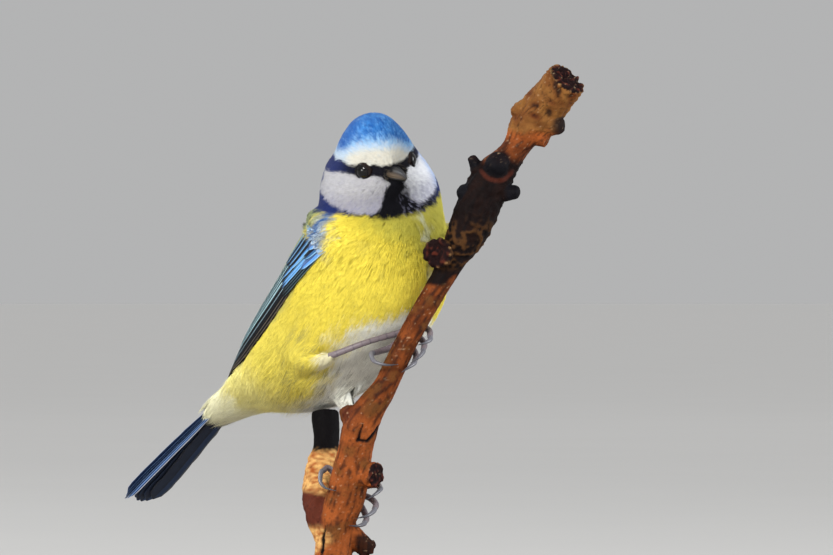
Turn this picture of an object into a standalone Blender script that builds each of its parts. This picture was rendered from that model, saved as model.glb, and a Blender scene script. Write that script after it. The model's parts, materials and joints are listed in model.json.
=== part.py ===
"""Blue tit gripping a short cut length of branch, life size, on a plain display stand.

Metres, +Z up. The viewer looks along +Y, so +X is the viewer's right. The origin lies under
the middle of the stand's round base. Sizes in this file are in millimetres until a mesh is made.
"""

import math

import bmesh
import bpy
import numpy as np

MM = 0.001
GAP = 0.30

# Attitude of the three main parts of the body, in degrees
BODY_YAW = 50.0
BODY_PITCH = 50.0
HEAD_YAW = 22.0
HEAD_DROP = 8.0
HEAD_LEAN = 13.7
TAIL_YAW = 60.0
TAIL_DROP = 41.5
TAIL_ROLL = 11.0

# Key places
BODY_CENTRE = np.array([0.9, 0.0, 76.7])
EYE_MIDPOINT = np.array([8.8, -13.5, 109.8])

# Eyes, lids and bill
EYE_RADIUS = 2.35
EYE_SPREAD = 5.1
LID_RING = 1.95
LID_THICKNESS = 0.42
BILL_LENGTH = 7.4
BILL_BASE_FORWARD = 4.7
BILL_BASE_DROP = 1.6
BILL_HALF_WIDTH = 1.9
BILL_UPPER_HEIGHT = 1.75
BILL_LOWER_HEIGHT = 1.25
NOSTRIL_RADIUS = 0.28

# Body loft: sides of each ring
BODY_SIDES = 32

# Feathers
VANE_THICKNESS = 0.55
TAIL_LENGTH = 35.0
TAIL_PAIRS = 6
RECTRIX_HALF_WIDTH = 2.7
# Outer tail feathers: distance from the middle, level and slope, on the bird's right and left
TAIL_SLOPE_RIGHT = (3.9, -1.3, 48.0)
TAIL_SLOPE_LEFT = (4.7, -0.8, 12.0)
PRIMARIES = 7
SECONDARIES = 5
TERTIALS = 3
GREATER_COVERTS = 5
MEDIAN_COVERTS = 4
PRIMARY_COVERTS = 3

# Legs
TARSUS_RADIUS = 0.68
TOE_RADIUS = 0.78
CLAW_RADIUS = 0.48
FOOT_RADII = (1.4, 1.1, 1.5)
CLAW_STANDOFF = 0.45

# Display stand
BASE_RADIUS = 50.0
BASE_HEIGHT = 6.5
BASE_BEVEL = 1.2
ROD_RADIUS = 2.6
CUT_END_HEIGHT = 16.0


def unit(vector):
    vector = np.asarray(vector, dtype=float)
    return vector / np.linalg.norm(vector)


def heading(yaw):
    angle = math.radians(yaw)
    return np.array([math.sin(angle), -math.cos(angle), 0.0])


UP = np.array([0.0, 0.0, 1.0])


def body_axes():
    """Cranial, right and dorsal directions of the trunk."""
    ahead = heading(BODY_YAW)
    right = np.cross(ahead, UP)
    pitch = math.radians(BODY_PITCH)
    cranial = ahead * math.cos(pitch) + UP * math.sin(pitch)
    return cranial, right, np.cross(right, cranial)


def head_axes():
    """Forward, right and up directions of the head."""
    ahead = heading(HEAD_YAW)
    level_right = np.cross(ahead, UP)
    drop = math.radians(HEAD_DROP)
    forward = ahead * math.cos(drop) - UP * math.sin(drop)
    level_up = np.cross(level_right, forward)
    lean = math.radians(HEAD_LEAN)
    right = level_right * math.cos(lean) - level_up * math.sin(lean)
    up = level_up * math.cos(lean) + level_right * math.sin(lean)
    return forward, right, up


def tail_axes():
    """Direction to the tail's tip, right and upper side of the tail."""
    ahead = heading(TAIL_YAW)
    level_right = np.cross(ahead, UP)
    drop = math.radians(TAIL_DROP)
    back = -ahead * math.cos(drop) - UP * math.sin(drop)
    level_upper = np.cross(back, level_right)
    roll = math.radians(TAIL_ROLL)
    right = level_right * math.cos(roll) + level_upper * math.sin(roll)
    return back, right, np.cross(back, right)


CRANIAL, RIGHT, DORSAL = body_axes()
FACE, HEAD_RIGHT, HEAD_UP = head_axes()
TAIL_BACK, TAIL_RIGHT, TAIL_UPPER = tail_axes()
EYE_AXES = (FACE, HEAD_UP, HEAD_RIGHT)


def in_body(along, right, dorsal):
    return BODY_CENTRE + CRANIAL * along + RIGHT * right + DORSAL * dorsal


def in_head(forward, right, up):
    return EYE_MIDPOINT + FACE * forward + HEAD_RIGHT * right + HEAD_UP * up


def mix(first, second, share):
    return np.asarray(first) * (1.0 - share) + np.asarray(second) * share


def smooth_curve(knots, values, places):
    """Cubic curve through values at rising knots, read at places."""
    knots = np.asarray(knots, dtype=float)
    values = np.asarray(values, dtype=float)
    places = np.atleast_1d(np.asarray(places, dtype=float))
    slopes = np.empty_like(values)
    gaps = knots[2:] - knots[:-2]
    slopes[1:-1] = (values[2:] - values[:-2]) / gaps.reshape((-1,) + (1,) * (values.ndim - 1))
    slopes[0] = (values[1] - values[0]) / (knots[1] - knots[0])
    slopes[-1] = (values[-1] - values[-2]) / (knots[-1] - knots[-2])
    low = np.clip(np.searchsorted(knots, places, side="right") - 1, 0, len(knots) - 2)
    width = knots[low + 1] - knots[low]
    t = (places - knots[low]) / width
    shape = (-1,) + (1,) * (values.ndim - 1)
    width = width.reshape(shape)
    t = t.reshape(shape)
    return ((2 * t**3 - 3 * t**2 + 1) * values[low] + (t**3 - 2 * t**2 + t) * width * slopes[low]
            + (-2 * t**3 + 3 * t**2) * values[low + 1] + (t**3 - t**2) * width * slopes[low + 1])


def along_points(points, places):
    """Smooth curve through points, read at places counted from 0 to 1 by length."""
    points = np.asarray(points, dtype=float)
    lengths = np.linalg.norm(np.diff(points, axis=0), axis=1)
    knots = np.concatenate([[0.0], np.cumsum(lengths)])
    return smooth_curve(knots / knots[-1], points, places)


def station(centre, axis, right, width, back, front, pinch=1.0):
    """One ring of the body: its middle, its axis, half width, depths and how narrow its front is."""
    return np.concatenate([centre, unit(axis), unit(right), [width, back, front, pinch]])


STATIONS = [
    station(in_body(-45.5, 0.7, 15.5), -TAIL_BACK, TAIL_RIGHT, 5.6, 2.7, 4.2),
    station(in_body(-37.3, 0.4, 11.6), mix(-TAIL_BACK, CRANIAL, 0.4), mix(TAIL_RIGHT, RIGHT, 0.5),
            8.6, 4.2, 6.0),
    station(in_body(-23.0, 0.0, 4.2), CRANIAL, RIGHT, 14.4, 12.6, 13.8),
    station(in_body(0.0, 0.0, 0.5), CRANIAL, RIGHT, 17.3, 16.6, 18.3),
    station(in_body(13.5, 0.0, 1.3), mix(CRANIAL, HEAD_UP, 0.15), mix(RIGHT, HEAD_RIGHT, 0.05),
            17.4, 16.6, 18.5),
    station(in_body(20.6, 0.0, 7.6), mix(CRANIAL, HEAD_UP, 0.7), mix(RIGHT, HEAD_RIGHT, 0.4),
            15.9, 14.4, 16.0),
    station(in_head(-8.7, 0.0, -9.5), HEAD_UP, mix(RIGHT, HEAD_RIGHT, 0.85), 14.4, 12.6, 13.4),
    station(in_head(-8.2, 0.0, -4.3), HEAD_UP, HEAD_RIGHT, 12.7, 12.4, 13.4, 1.3),
    station(in_head(-8.0, 0.0, 0.0), HEAD_UP, HEAD_RIGHT, 10.5, 11.8, 13.2, 1.6),
    station(in_head(-6.8, 0.0, 4.6), HEAD_UP, HEAD_RIGHT, 8.3, 10.6, 10.7, 1.3),
    station(in_head(-6.0, 0.0, 8.4), HEAD_UP, HEAD_RIGHT, 5.9, 7.8, 7.6, 1.1),
    station(in_head(-5.6, 0.0, 10.6), HEAD_UP, HEAD_RIGHT, 3.7, 4.6, 4.5),
    station(in_head(-5.5, 0.0, 11.5), HEAD_UP, HEAD_RIGHT, 1.2, 1.4, 1.4),
]
RUMP = 0.0
NECK_BASE = 5.0
HEAD_BASE = 6.0
CROWN = 12.0
STATION_TABLE = np.array(STATIONS)
STATION_KNOTS = np.concatenate(
    [[0.0], np.cumsum(np.linalg.norm(np.diff(STATION_TABLE[:, :3], axis=0), axis=1))])


def ring_values(place):
    """Ring at a place counted in stations, with its axes made square again."""
    low = min(int(place), len(STATIONS) - 2)
    knot = mix(STATION_KNOTS[low], STATION_KNOTS[low + 1], place - low)
    row = smooth_curve(STATION_KNOTS, STATION_TABLE, knot)[0]
    axis = unit(row[3:6])
    right = unit(row[6:9] - axis * np.dot(row[6:9], axis))
    return row[:3], axis, right, np.cross(axis, right), row[9:]


def body_point(place, turn, lift=0.0):
    """Point of the body's surface. Turn is 0 at the bird's right and 90 degrees at its back."""
    centre, _, right, front, (width, back, fore, pinch) = ring_values(place)
    across = math.cos(turn)
    depth = math.sin(turn)
    if depth < 0.0:
        across = math.copysign(abs(across) ** pinch, across)
    reach = (back if depth > 0.0 else fore) + lift
    return centre + right * (width + lift) * across - front * reach * depth


def body_ring(place, lift=0.0, sides=BODY_SIDES):
    return [body_point(place, 2.0 * math.pi * k / sides, lift) for k in range(sides)]


def loft_faces(rings, sides):
    """Triangles of a tube of rings, closed by a point at each end."""
    faces = []
    start = rings * sides
    for i in range(rings - 1):
        for k in range(sides):
            a = i * sides + k
            b = i * sides + (k + 1) % sides
            faces.append((a, a + sides, b + sides))
            faces.append((a, b + sides, b))
    last = (rings - 1) * sides
    for k in range(sides):
        faces.append((start, k, (k + 1) % sides))
        faces.append((start + 1, last + (k + 1) % sides, last + k))
    return faces


def new_object(name, points, faces, material):
    """Closed mesh object from points in millimetres, faces turned outwards."""
    mesh = bpy.data.meshes.new(name)
    mesh.from_pydata([tuple(float(c) * MM for c in p) for p in points], [], faces)
    shell = bmesh.new()
    shell.from_mesh(mesh)
    bmesh.ops.recalc_face_normals(shell, faces=shell.faces)
    shell.to_mesh(mesh)
    shell.free()
    obj = bpy.data.objects.new(name, mesh)
    bpy.context.scene.collection.objects.link(obj)
    if material is not None:
        mesh.materials.append(material)
    return obj


def loft(name, rings, material, start=None, end=None):
    """Tube through rings of points; start and end are the middle points of its closed ends."""
    sides = len(rings[0])
    points = [p for ring in rings for p in ring]
    points.append(np.mean(rings[0], axis=0) if start is None else start)
    points.append(np.mean(rings[-1], axis=0) if end is None else end)
    return new_object(name, points, loft_faces(len(rings), sides), material)


def tube_rings(points, radii, sides, flatten=1.0, flat_normal=None):
    """Rings of a round tube along points, each ring square to the path."""
    points = np.asarray(points, dtype=float)
    rings = []
    reference = unit(flat_normal) if flat_normal is not None else np.array([0.31, -0.9, 0.3])
    for i, (point, radius) in enumerate(zip(points, radii)):
        before = points[max(i - 1, 0)]
        after = points[min(i + 1, len(points) - 1)]
        tangent = unit(after - before)
        side = unit(np.cross(tangent, reference))
        rise = np.cross(side, tangent)
        reference = rise
        ring = []
        for k in range(sides):
            angle = 2.0 * math.pi * (k + 0.5) / sides
            ring.append(point + side * radius * math.cos(angle)
                        + rise * radius * flatten * math.sin(angle))
        rings.append(ring)
    return rings


def tube(name, points, radii, sides, material):
    return loft(name, tube_rings(points, radii, sides), material)


def curved_tube(name, through, radii, count, sides, material):
    """Tube along a smooth curve, its radius read from a few values spread along it."""
    places = np.linspace(0.0, 1.0, count)
    points = along_points(through, places)
    sizes = smooth_curve(np.linspace(0.0, 1.0, len(radii)), np.asarray(radii, float), places)
    return tube(name, points, sizes, sides, material)


def ball(name, centre, radii, axes, material, around=12, up=7):
    """Closed ellipsoid on three axes."""
    rings = []
    for i in range(1, up):
        polar = math.pi * i / up
        ring = []
        for k in range(around):
            turn = 2.0 * math.pi * k / around
            ring.append(centre + axes[0] * radii[0] * math.sin(polar) * math.cos(turn)
                        + axes[1] * radii[1] * math.sin(polar) * math.sin(turn)
                        + axes[2] * radii[2] * math.cos(polar))
        rings.append(ring)
    top = centre + axes[2] * radii[2]
    low = centre - axes[2] * radii[2]
    return loft(name, rings, material, start=top, end=low)


WORLD_AXES = (np.array([1.0, 0.0, 0.0]), np.array([0.0, 1.0, 0.0]), UP)


def keep_largest(mesh):
    """Leaves only the largest closed surface of a mesh."""
    shell = bmesh.new()
    shell.from_mesh(mesh)
    shell.verts.index_update()
    seen = set()
    groups = []
    for seed in shell.verts:
        if seed.index in seen:
            continue
        seen.add(seed.index)
        group = [seed]
        for vert in group:
            for edge in vert.link_edges:
                other = edge.other_vert(vert)
                if other.index not in seen:
                    seen.add(other.index)
                    group.append(other)
        groups.append(group)
    groups.sort(key=spread, reverse=True)
    loose = [vert for group in groups[1:] for vert in group]
    bmesh.ops.delete(shell, geom=loose, context="VERTS")
    bmesh.ops.triangulate(shell, faces=shell.faces)
    shell.to_mesh(mesh)
    shell.free()


def spread(group):
    places = np.array([vert.co[:] for vert in group])
    return float(np.prod(places.max(axis=0) - places.min(axis=0)))


def combine(obj, others, operation, solver):
    """Applies one Boolean of the other objects to obj, then removes them."""
    group = bpy.data.collections.new(obj.name + "_pieces")
    bpy.context.scene.collection.children.link(group)
    for other in others:
        group.objects.link(other)
        bpy.context.scene.collection.objects.unlink(other)
    change = obj.modifiers.new("join", "BOOLEAN")
    change.operand_type = "COLLECTION"
    change.collection = group
    change.operation = operation
    change.solver = solver
    bpy.context.view_layer.update()
    seen = obj.evaluated_get(bpy.context.evaluated_depsgraph_get())
    result = bpy.data.meshes.new_from_object(seen)
    obj.modifiers.clear()
    obj.data = result
    for other in others:
        bpy.data.objects.remove(other)
    bpy.data.collections.remove(group)
    keep_largest(obj.data)
    return obj


def fuse(obj, others, solver="MANIFOLD"):
    return combine(obj, others, "UNION", solver)


def cut(obj, others, solver="MANIFOLD"):
    return combine(obj, others, "DIFFERENCE", solver)


def vane(name, middles, across, normals, half_widths, thickness, ridge, material):
    """Flat tapered feather, split into triangles alike on both faces; ridge 0 makes it flat."""
    spans = (-1.0, 1.0) if ridge == 0.0 else (-1.0, 0.0, 1.0)
    count = len(spans)
    points = []
    for i, middle in enumerate(middles):
        half = normals[i] * thickness[i] * 0.5
        crest = normals[i] * ridge * min(1.0, half_widths[i])
        for face in (half, -half):
            for span in spans:
                rise = crest if span == 0.0 else 0.0
                points.append(middle + across[i] * half_widths[i] * span + rise + face)
    faces = []
    rows = len(middles)
    for i in range(rows - 1):
        a = i * 2 * count
        b = a + 2 * count
        for k in range(count - 1):
            faces.append((a + k, a + k + 1, b + k + 1))
            faces.append((a + k, b + k + 1, b + k))
            faces.append((a + count + k, b + count + 1 + k, a + count + 1 + k))
            faces.append((a + count + k, b + count + k, b + count + 1 + k))
        for k in (0, count - 1):
            faces.append((a + k, b + k, b + count + k))
            faces.append((a + k, b + count + k, a + count + k))
    for a in (0, (rows - 1) * 2 * count):
        for k in range(count - 1):
            faces.append((a + k, a + k + 1, a + k + count + 1))
            faces.append((a + k, a + k + count + 1, a + k + count))
    return new_object(name, points, faces, material)


def feather_profile(places, half_width, tip_round=0.16, root_share=0.75):
    """Half width along a feather: narrow root, full blade and a rounded tip."""
    sizes = []
    for place in places:
        blade = root_share + (1.0 - root_share) * min(1.0, place / 0.35)
        if place > 1.0 - tip_round:
            inner = (place - 1.0 + tip_round) / tip_round
            blade *= max(0.28, math.sqrt(max(0.0, 1.0 - inner * inner)))
        sizes.append(half_width * blade)
    return sizes


def make_materials():
    looks = {
        "cap_blue": ((0.10, 0.29, 0.66), 0.60, 0.0),
        "breast_yellow": ((0.80, 0.66, 0.10), 0.75, 0.0),
        "wing_blue": ((0.13, 0.25, 0.42), 0.60, 0.0),
        "tail_blue": ((0.10, 0.17, 0.30), 0.60, 0.0),
        "bill_horn": ((0.10, 0.11, 0.13), 0.35, 0.0),
        "eye_dark": ((0.015, 0.010, 0.010), 0.05, 0.0),
        "leg_blue_grey": ((0.22, 0.27, 0.34), 0.50, 0.0),
        "claw_grey": ((0.16, 0.16, 0.18), 0.35, 0.0),
        "bark_brown": ((0.33, 0.13, 0.05), 0.65, 0.0),
        "stand_wood": ((0.10, 0.07, 0.05), 0.40, 0.0),
        "stand_steel": ((0.55, 0.55, 0.56), 0.35, 1.0),
    }
    materials = {}
    for name, (colour, roughness, metallic) in looks.items():
        material = bpy.data.materials.new(name)
        material.use_nodes = True
        shader = material.node_tree.nodes["Principled BSDF"]
        shader.inputs["Base Color"].default_value = (*colour, 1.0)
        shader.inputs["Roughness"].default_value = roughness
        shader.inputs["Metallic"].default_value = metallic
        materials[name] = material
    return materials


def shifted_ring(place, offset, lift=0.0):
    """Ring moved along its own axis, so that facing ends of two pieces stay parallel."""
    _, axis, _, _, _ = ring_values(place)
    return [point + axis * offset for point in body_ring(place, lift)]


def body_section(name, start, end, count, material, start_gap=0.5, end_gap=0.5):
    """Stretch of the body between two stations, with half a gap left at each joint."""
    rings = [shifted_ring(start, GAP * start_gap)]
    rings += [body_ring(place) for place in np.linspace(start, end, count)[1:-1]]
    rings.append(shifted_ring(end, -GAP * end_gap))
    return loft(name, rings, material)


def make_torso(materials):
    return body_section("torso", RUMP, NECK_BASE, 19, materials["breast_yellow"])


def make_neck(materials):
    return body_section("neck", NECK_BASE, HEAD_BASE, 6, materials["breast_yellow"])


def eye_centre(side):
    return in_head(0.0, side * EYE_SPREAD, 0.0)


def make_head(materials):
    rings = [shifted_ring(HEAD_BASE, GAP * 0.5)]
    rings += [body_ring(place) for place in np.linspace(HEAD_BASE, CROWN, 20)[1:]]
    head = loft("head", rings, materials["cap_blue"], end=in_head(-5.5, 0.0, 11.62))
    lids = []
    for side in (1.0, -1.0):
        outward = HEAD_RIGHT * side
        depth = math.sqrt(EYE_RADIUS**2 - (LID_RING - 0.3)**2)
        middle = eye_centre(side) + outward * depth
        lids.append(ring_torus("lid", middle, outward, LID_RING, LID_THICKNESS))
    fuse(head, lids)
    cutters = [ball("socket", eye_centre(side), [EYE_RADIUS + GAP] * 3, EYE_AXES, None, 12, 7)
               for side in (1.0, -1.0)]
    cutters.append(bill_pocket())
    return cut(head, cutters)


def ring_torus(name, middle, axis, radius, thickness, around=14, sides=5):
    """Closed ring round an axis."""
    side = unit(np.cross(axis, UP))
    rise = np.cross(axis, side)
    points = []
    for i in range(around):
        turn = 2.0 * math.pi * i / around
        outward = side * math.cos(turn) + rise * math.sin(turn)
        for k in range(sides):
            angle = 2.0 * math.pi * k / sides
            points.append(middle + outward * (radius + thickness * math.cos(angle))
                          + axis * thickness * math.sin(angle))
    faces = []
    for i in range(around):
        for k in range(sides):
            a = i * sides + k
            b = i * sides + (k + 1) % sides
            c = ((i + 1) % around) * sides + (k + 1) % sides
            d = ((i + 1) % around) * sides + k
            faces.append((a, b, c))
            faces.append((a, c, d))
    return new_object(name, points, faces, None)


def bill_section(share, upper, grow=0.0, sides=10):
    """Half round section of one half of the bill, share of the way from base to tip."""
    taper = math.sqrt(max(0.0, 1.0 - share**1.35))
    half_width = BILL_HALF_WIDTH * (1.0 - share)**0.85 + 0.12 + grow
    height = (BILL_UPPER_HEIGHT if upper else BILL_LOWER_HEIGHT) * taper + 0.10 + grow
    reach = share * (1.0 if upper else 0.93)
    forward = BILL_BASE_FORWARD + BILL_LENGTH * reach
    droop = -BILL_BASE_DROP - 0.35 * reach**2
    sign = 1.0 if upper else -1.0
    seam = sign * (GAP * 0.5 - grow)
    ring = []
    for k in range(sides + 1):
        angle = math.pi * k / sides
        ring.append(in_head(forward, half_width * math.cos(angle),
                            droop + seam + sign * height * math.sin(angle)))
    return ring


def bill_pocket():
    """Space that the bill's base needs in the head."""
    rings = []
    for forward in (BILL_BASE_FORWARD - GAP, BILL_BASE_FORWARD + 6.0):
        ring = []
        for k in range(16):
            angle = 2.0 * math.pi * k / 16
            height = BILL_UPPER_HEIGHT if math.sin(angle) > 0.0 else BILL_LOWER_HEIGHT
            ring.append(in_head(forward, (BILL_HALF_WIDTH + 0.12 + GAP * 1.3) * math.cos(angle),
                                -BILL_BASE_DROP + (height + 0.25 + GAP * 1.3) * math.sin(angle)))
        rings.append(ring)
    return loft("pocket", rings, None)


def make_bill(materials):
    shares = (0.0, 0.2, 0.42, 0.64, 0.84, 1.0)
    for name, is_upper in (("bill_upper", True), ("bill_lower", False)):
        rings = [bill_section(share, is_upper) for share in shares]
        half = loft(name, rings, materials["bill_horn"])
        if is_upper:
            pits = []
            for side in (1.0, -1.0):
                place = in_head(BILL_BASE_FORWARD + 0.85, side * 1.52, -BILL_BASE_DROP + 1.35)
                radii = [NOSTRIL_RADIUS * 1.6, NOSTRIL_RADIUS, NOSTRIL_RADIUS]
                pits.append(ball("nostril", place, radii, (FACE, HEAD_RIGHT, HEAD_UP), None, 8, 5))
            cut(half, pits)


def make_eyes(materials):
    for name, side in (("eye_right", 1.0), ("eye_left", -1.0)):
        ball(name, eye_centre(side), [EYE_RADIUS] * 3, EYE_AXES, materials["eye_dark"], 12, 7)


# Folded wing: a sheet laid over the flank, from the bend of the wing (0) to its tip (1)
SHEET_KNOTS = (0.0, 0.15, 0.33, 0.50, 0.67, 0.83, 1.0)
SHEET_STATIONS = (4.93, 4.45, 3.72, 3.00, 2.35, 1.62, 0.84)
SHEET_LOWER = (-20.0, -2.0, 12.0, 18.0, 20.0, 27.0, 66.0)
SHEET_UPPER = (56.0, 62.0, 66.0, 70.0, 74.0, 79.0, 86.0)
SHEET_LIFT = (1.05, 1.10, 1.15, 1.20, 1.25, 1.35, 1.20)


def sheet_point(side, u, v, lift=0.0):
    """Point of the folded wing's sheet: u runs to the tip, v from the lower to the upper edge."""
    place = float(smooth_curve(SHEET_KNOTS, SHEET_STATIONS, u)[0])
    low = float(smooth_curve(SHEET_KNOTS, SHEET_LOWER, u)[0])
    high = float(smooth_curve(SHEET_KNOTS, SHEET_UPPER, u)[0])
    base = float(smooth_curve(SHEET_KNOTS, SHEET_LIFT, u)[0])
    turn = math.radians(mix(low, high, v))
    if side < 0.0:
        turn = math.pi - turn
    return body_point(place, turn, base + lift)


def sheet_frame(side, u, v, lift):
    """Point, direction towards the upper edge and outward normal of the wing's sheet."""
    step = 0.01
    point = sheet_point(side, u, v, lift)
    ahead = sheet_point(side, min(u + step, 1.0), v, lift) - sheet_point(side, max(u - step, 0.0), v, lift)
    over = sheet_point(side, u, v + step, lift) - sheet_point(side, u, v - step, lift)
    normal = unit(sheet_point(side, u, v, lift + 1.0) - point)
    ahead = unit(ahead)
    over = unit(over - ahead * np.dot(over, ahead))
    outward = unit(np.cross(ahead, over))
    if np.dot(outward, normal) < 0.0:
        outward = -outward
    return point, over, outward


def wing_vane(side, start, end, half_width, level, tilt, rows, ridge=0.0):
    """Feather on the wing's sheet between two (u, v) places, leaning like a roof tile."""
    places = np.linspace(0.0, 1.0, rows)
    middles = []
    across = []
    normals = []
    for place in places:
        u = mix(start[0], end[0], place)
        v = mix(start[1], end[1], place)
        point, over, outward = sheet_frame(side, float(u), float(v), level)
        lean = math.radians(tilt)
        middles.append(point)
        across.append(over * math.cos(lean) - outward * math.sin(lean))
        normals.append(outward * math.cos(lean) + over * math.sin(lean))
    widths = feather_profile(places, half_width)
    thickness = [VANE_THICKNESS * (1.0 if place < 0.9 else 0.6) for place in places]
    return vane("vane", middles, across, normals, widths, thickness, ridge, None)


def wing_front(v):
    """How far down the wing its rounded front edge begins, by the place across the wing."""
    return 0.24 * max(0.0, (v - 0.40) / 0.60)**2


def wing_core(name, side, material):
    """Shoulder and arm of the wing as one curved plate, which carries the feathers."""
    rows = 9
    columns = 6
    top = []
    bottom = []
    for i in range(rows):
        thin = 1.0 - 0.55 * (i / (rows - 1))**2
        for k in range(columns):
            v = mix(0.03, 0.97, k / (columns - 1))
            u = mix(wing_front(v), 0.56, i / (rows - 1))
            edge = math.sin(math.pi * mix(0.12, 0.88, k / (columns - 1)))**0.5
            front = min(1.0, 0.35 + i * 0.45)
            top.append(sheet_point(side, float(u), float(v), 0.75 * thin * edge * front))
            bottom.append(sheet_point(side, float(u), float(v), -0.55))
    points = top + bottom
    offset = rows * columns
    faces = []
    for i in range(rows - 1):
        for k in range(columns - 1):
            a = i * columns + k
            b = a + columns
            faces.append((a, a + 1, b + 1))
            faces.append((a, b + 1, b))
            faces.append((a + offset, b + 1 + offset, a + 1 + offset))
            faces.append((a + offset, b + offset, b + 1 + offset))
    rim = [k for k in range(columns)]
    rim += [i * columns + columns - 1 for i in range(1, rows)]
    rim += [(rows - 1) * columns + k for k in range(columns - 2, -1, -1)]
    rim += [i * columns for i in range(rows - 2, 0, -1)]
    for a, b in zip(rim, rim[1:] + rim[:1]):
        faces.append((a, b, b + offset))
        faces.append((a, b + offset, a + offset))
    return new_object(name, points, faces, material)


def spaced(count, first, last):
    return [mix(first, last, k / (count - 1)) for k in range(count)]


def make_wing(name, side, materials):
    core = wing_core(name, side, materials["wing_blue"])
    vanes = []
    for k in range(PRIMARIES):
        share = k / (PRIMARIES - 1)
        start = (0.30, 0.10 + 0.26 * share)
        end = (1.0 - 0.13 * share, 0.14 + 0.44 * share)
        vanes.append(wing_vane(side, start, end, 1.75 + 0.01 * k, 0.05 + 0.013 * k, 11.0, 5))
    for k in range(SECONDARIES):
        share = k / (SECONDARIES - 1)
        start = (0.34, 0.40 + 0.30 * share)
        end = (0.80 - 0.05 * share, 0.50 + 0.26 * share)
        vanes.append(wing_vane(side, start, end, 2.1 + 0.01 * k, 0.22 + 0.017 * k, 11.0, 4))
    for k in range(TERTIALS):
        share = k / (TERTIALS - 1)
        start = (0.32, 0.70 + 0.20 * share)
        end = (0.74 - 0.12 * share, 0.76 + 0.16 * share)
        vanes.append(wing_vane(side, start, end, 2.3, 0.55, 9.0, 4, 0.12))
    for v in spaced(PRIMARY_COVERTS, 0.06, 0.20):
        vanes.append(wing_vane(side, (0.20, float(v)), (0.42, float(v) + 0.03), 1.5, 0.65, 10.0, 4))
    for v in spaced(GREATER_COVERTS, 0.28, 0.92):
        vanes.append(wing_vane(side, (0.20, float(v)), (0.44, float(v) + 0.02), 2.1, 0.82, 10.0, 4, 0.12))
    for v in spaced(MEDIAN_COVERTS, 0.22, 0.88):
        start = (0.08 + 0.6 * wing_front(float(v)), float(v))
        vanes.append(wing_vane(side, start, (0.27, float(v) + 0.02), 2.3, 1.00, 9.0, 4, 0.12))
    fuse(core, vanes)
    return core


def make_tail(materials):
    """Folded tail: six pairs of vanes, the middle pair on top, fused at a short root."""
    centre, _, _, _, _ = ring_values(RUMP)
    face = centre + TAIL_BACK * GAP * 0.5
    root_rings = []
    for distance, width, depth in ((0.0, 5.3, 2.5), (3.0, 5.4, 2.0), (6.0, 5.0, 1.1)):
        ring = []
        for k in range(16):
            angle = 2.0 * math.pi * k / 16
            ring.append(face + TAIL_BACK * distance + TAIL_RIGHT * width * math.cos(angle)
                        + TAIL_UPPER * depth * math.sin(angle))
        root_rings.append(ring)
    tail = loft("tail", root_rings, materials["tail_blue"])
    vanes = []
    for pair in range(TAIL_PAIRS):
        for side in (1.0, -1.0):
            vanes.append(rectrix(face, pair, side))
    return fuse(tail, vanes)


def rectrix(face, pair, side):
    """One tail feather; pair 0 is the middle one."""
    places = np.linspace(0.0, 1.0, 5)
    share = pair / (TAIL_PAIRS - 1)
    length = TAIL_LENGTH - 1.2 * abs(share - 0.45) * 2.0 - 1.4 * share**4
    slope_out, slope_down, slope_lean = TAIL_SLOPE_RIGHT if side > 0.0 else TAIL_SLOPE_LEFT
    out = side * mix(1.4 if side > 0.0 else 0.9, slope_out, share)
    level = mix(1.6, slope_down, share) - (0.14 if side < 0.0 else 0.0)
    lean = math.radians(mix(4.0, slope_lean, share)) * side
    middles = []
    for place in places:
        spread = min(1.0, 0.45 + place * 0.7)
        middles.append(face + TAIL_BACK * mix(0.8, length, place) + TAIL_RIGHT * out * spread
                       + TAIL_UPPER * mix(0.6, level, spread))
    across = [TAIL_RIGHT * math.cos(lean) - TAIL_UPPER * math.sin(lean)] * len(places)
    normals = [TAIL_UPPER * math.cos(lean) + TAIL_RIGHT * math.sin(lean)] * len(places)
    widths = feather_profile(places, RECTRIX_HALF_WIDTH, tip_round=0.10, root_share=0.6)
    thickness = [VANE_THICKNESS * (1.0 if place < 0.9 else 0.6) for place in places]
    return vane("rectrix", middles, across, normals, widths, thickness, 0.0, None)


def body_cutter(lift):
    rings = [body_ring(place, lift) for place in np.linspace(RUMP, HEAD_BASE, 25)]
    return loft("clearance", rings, None)


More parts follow.
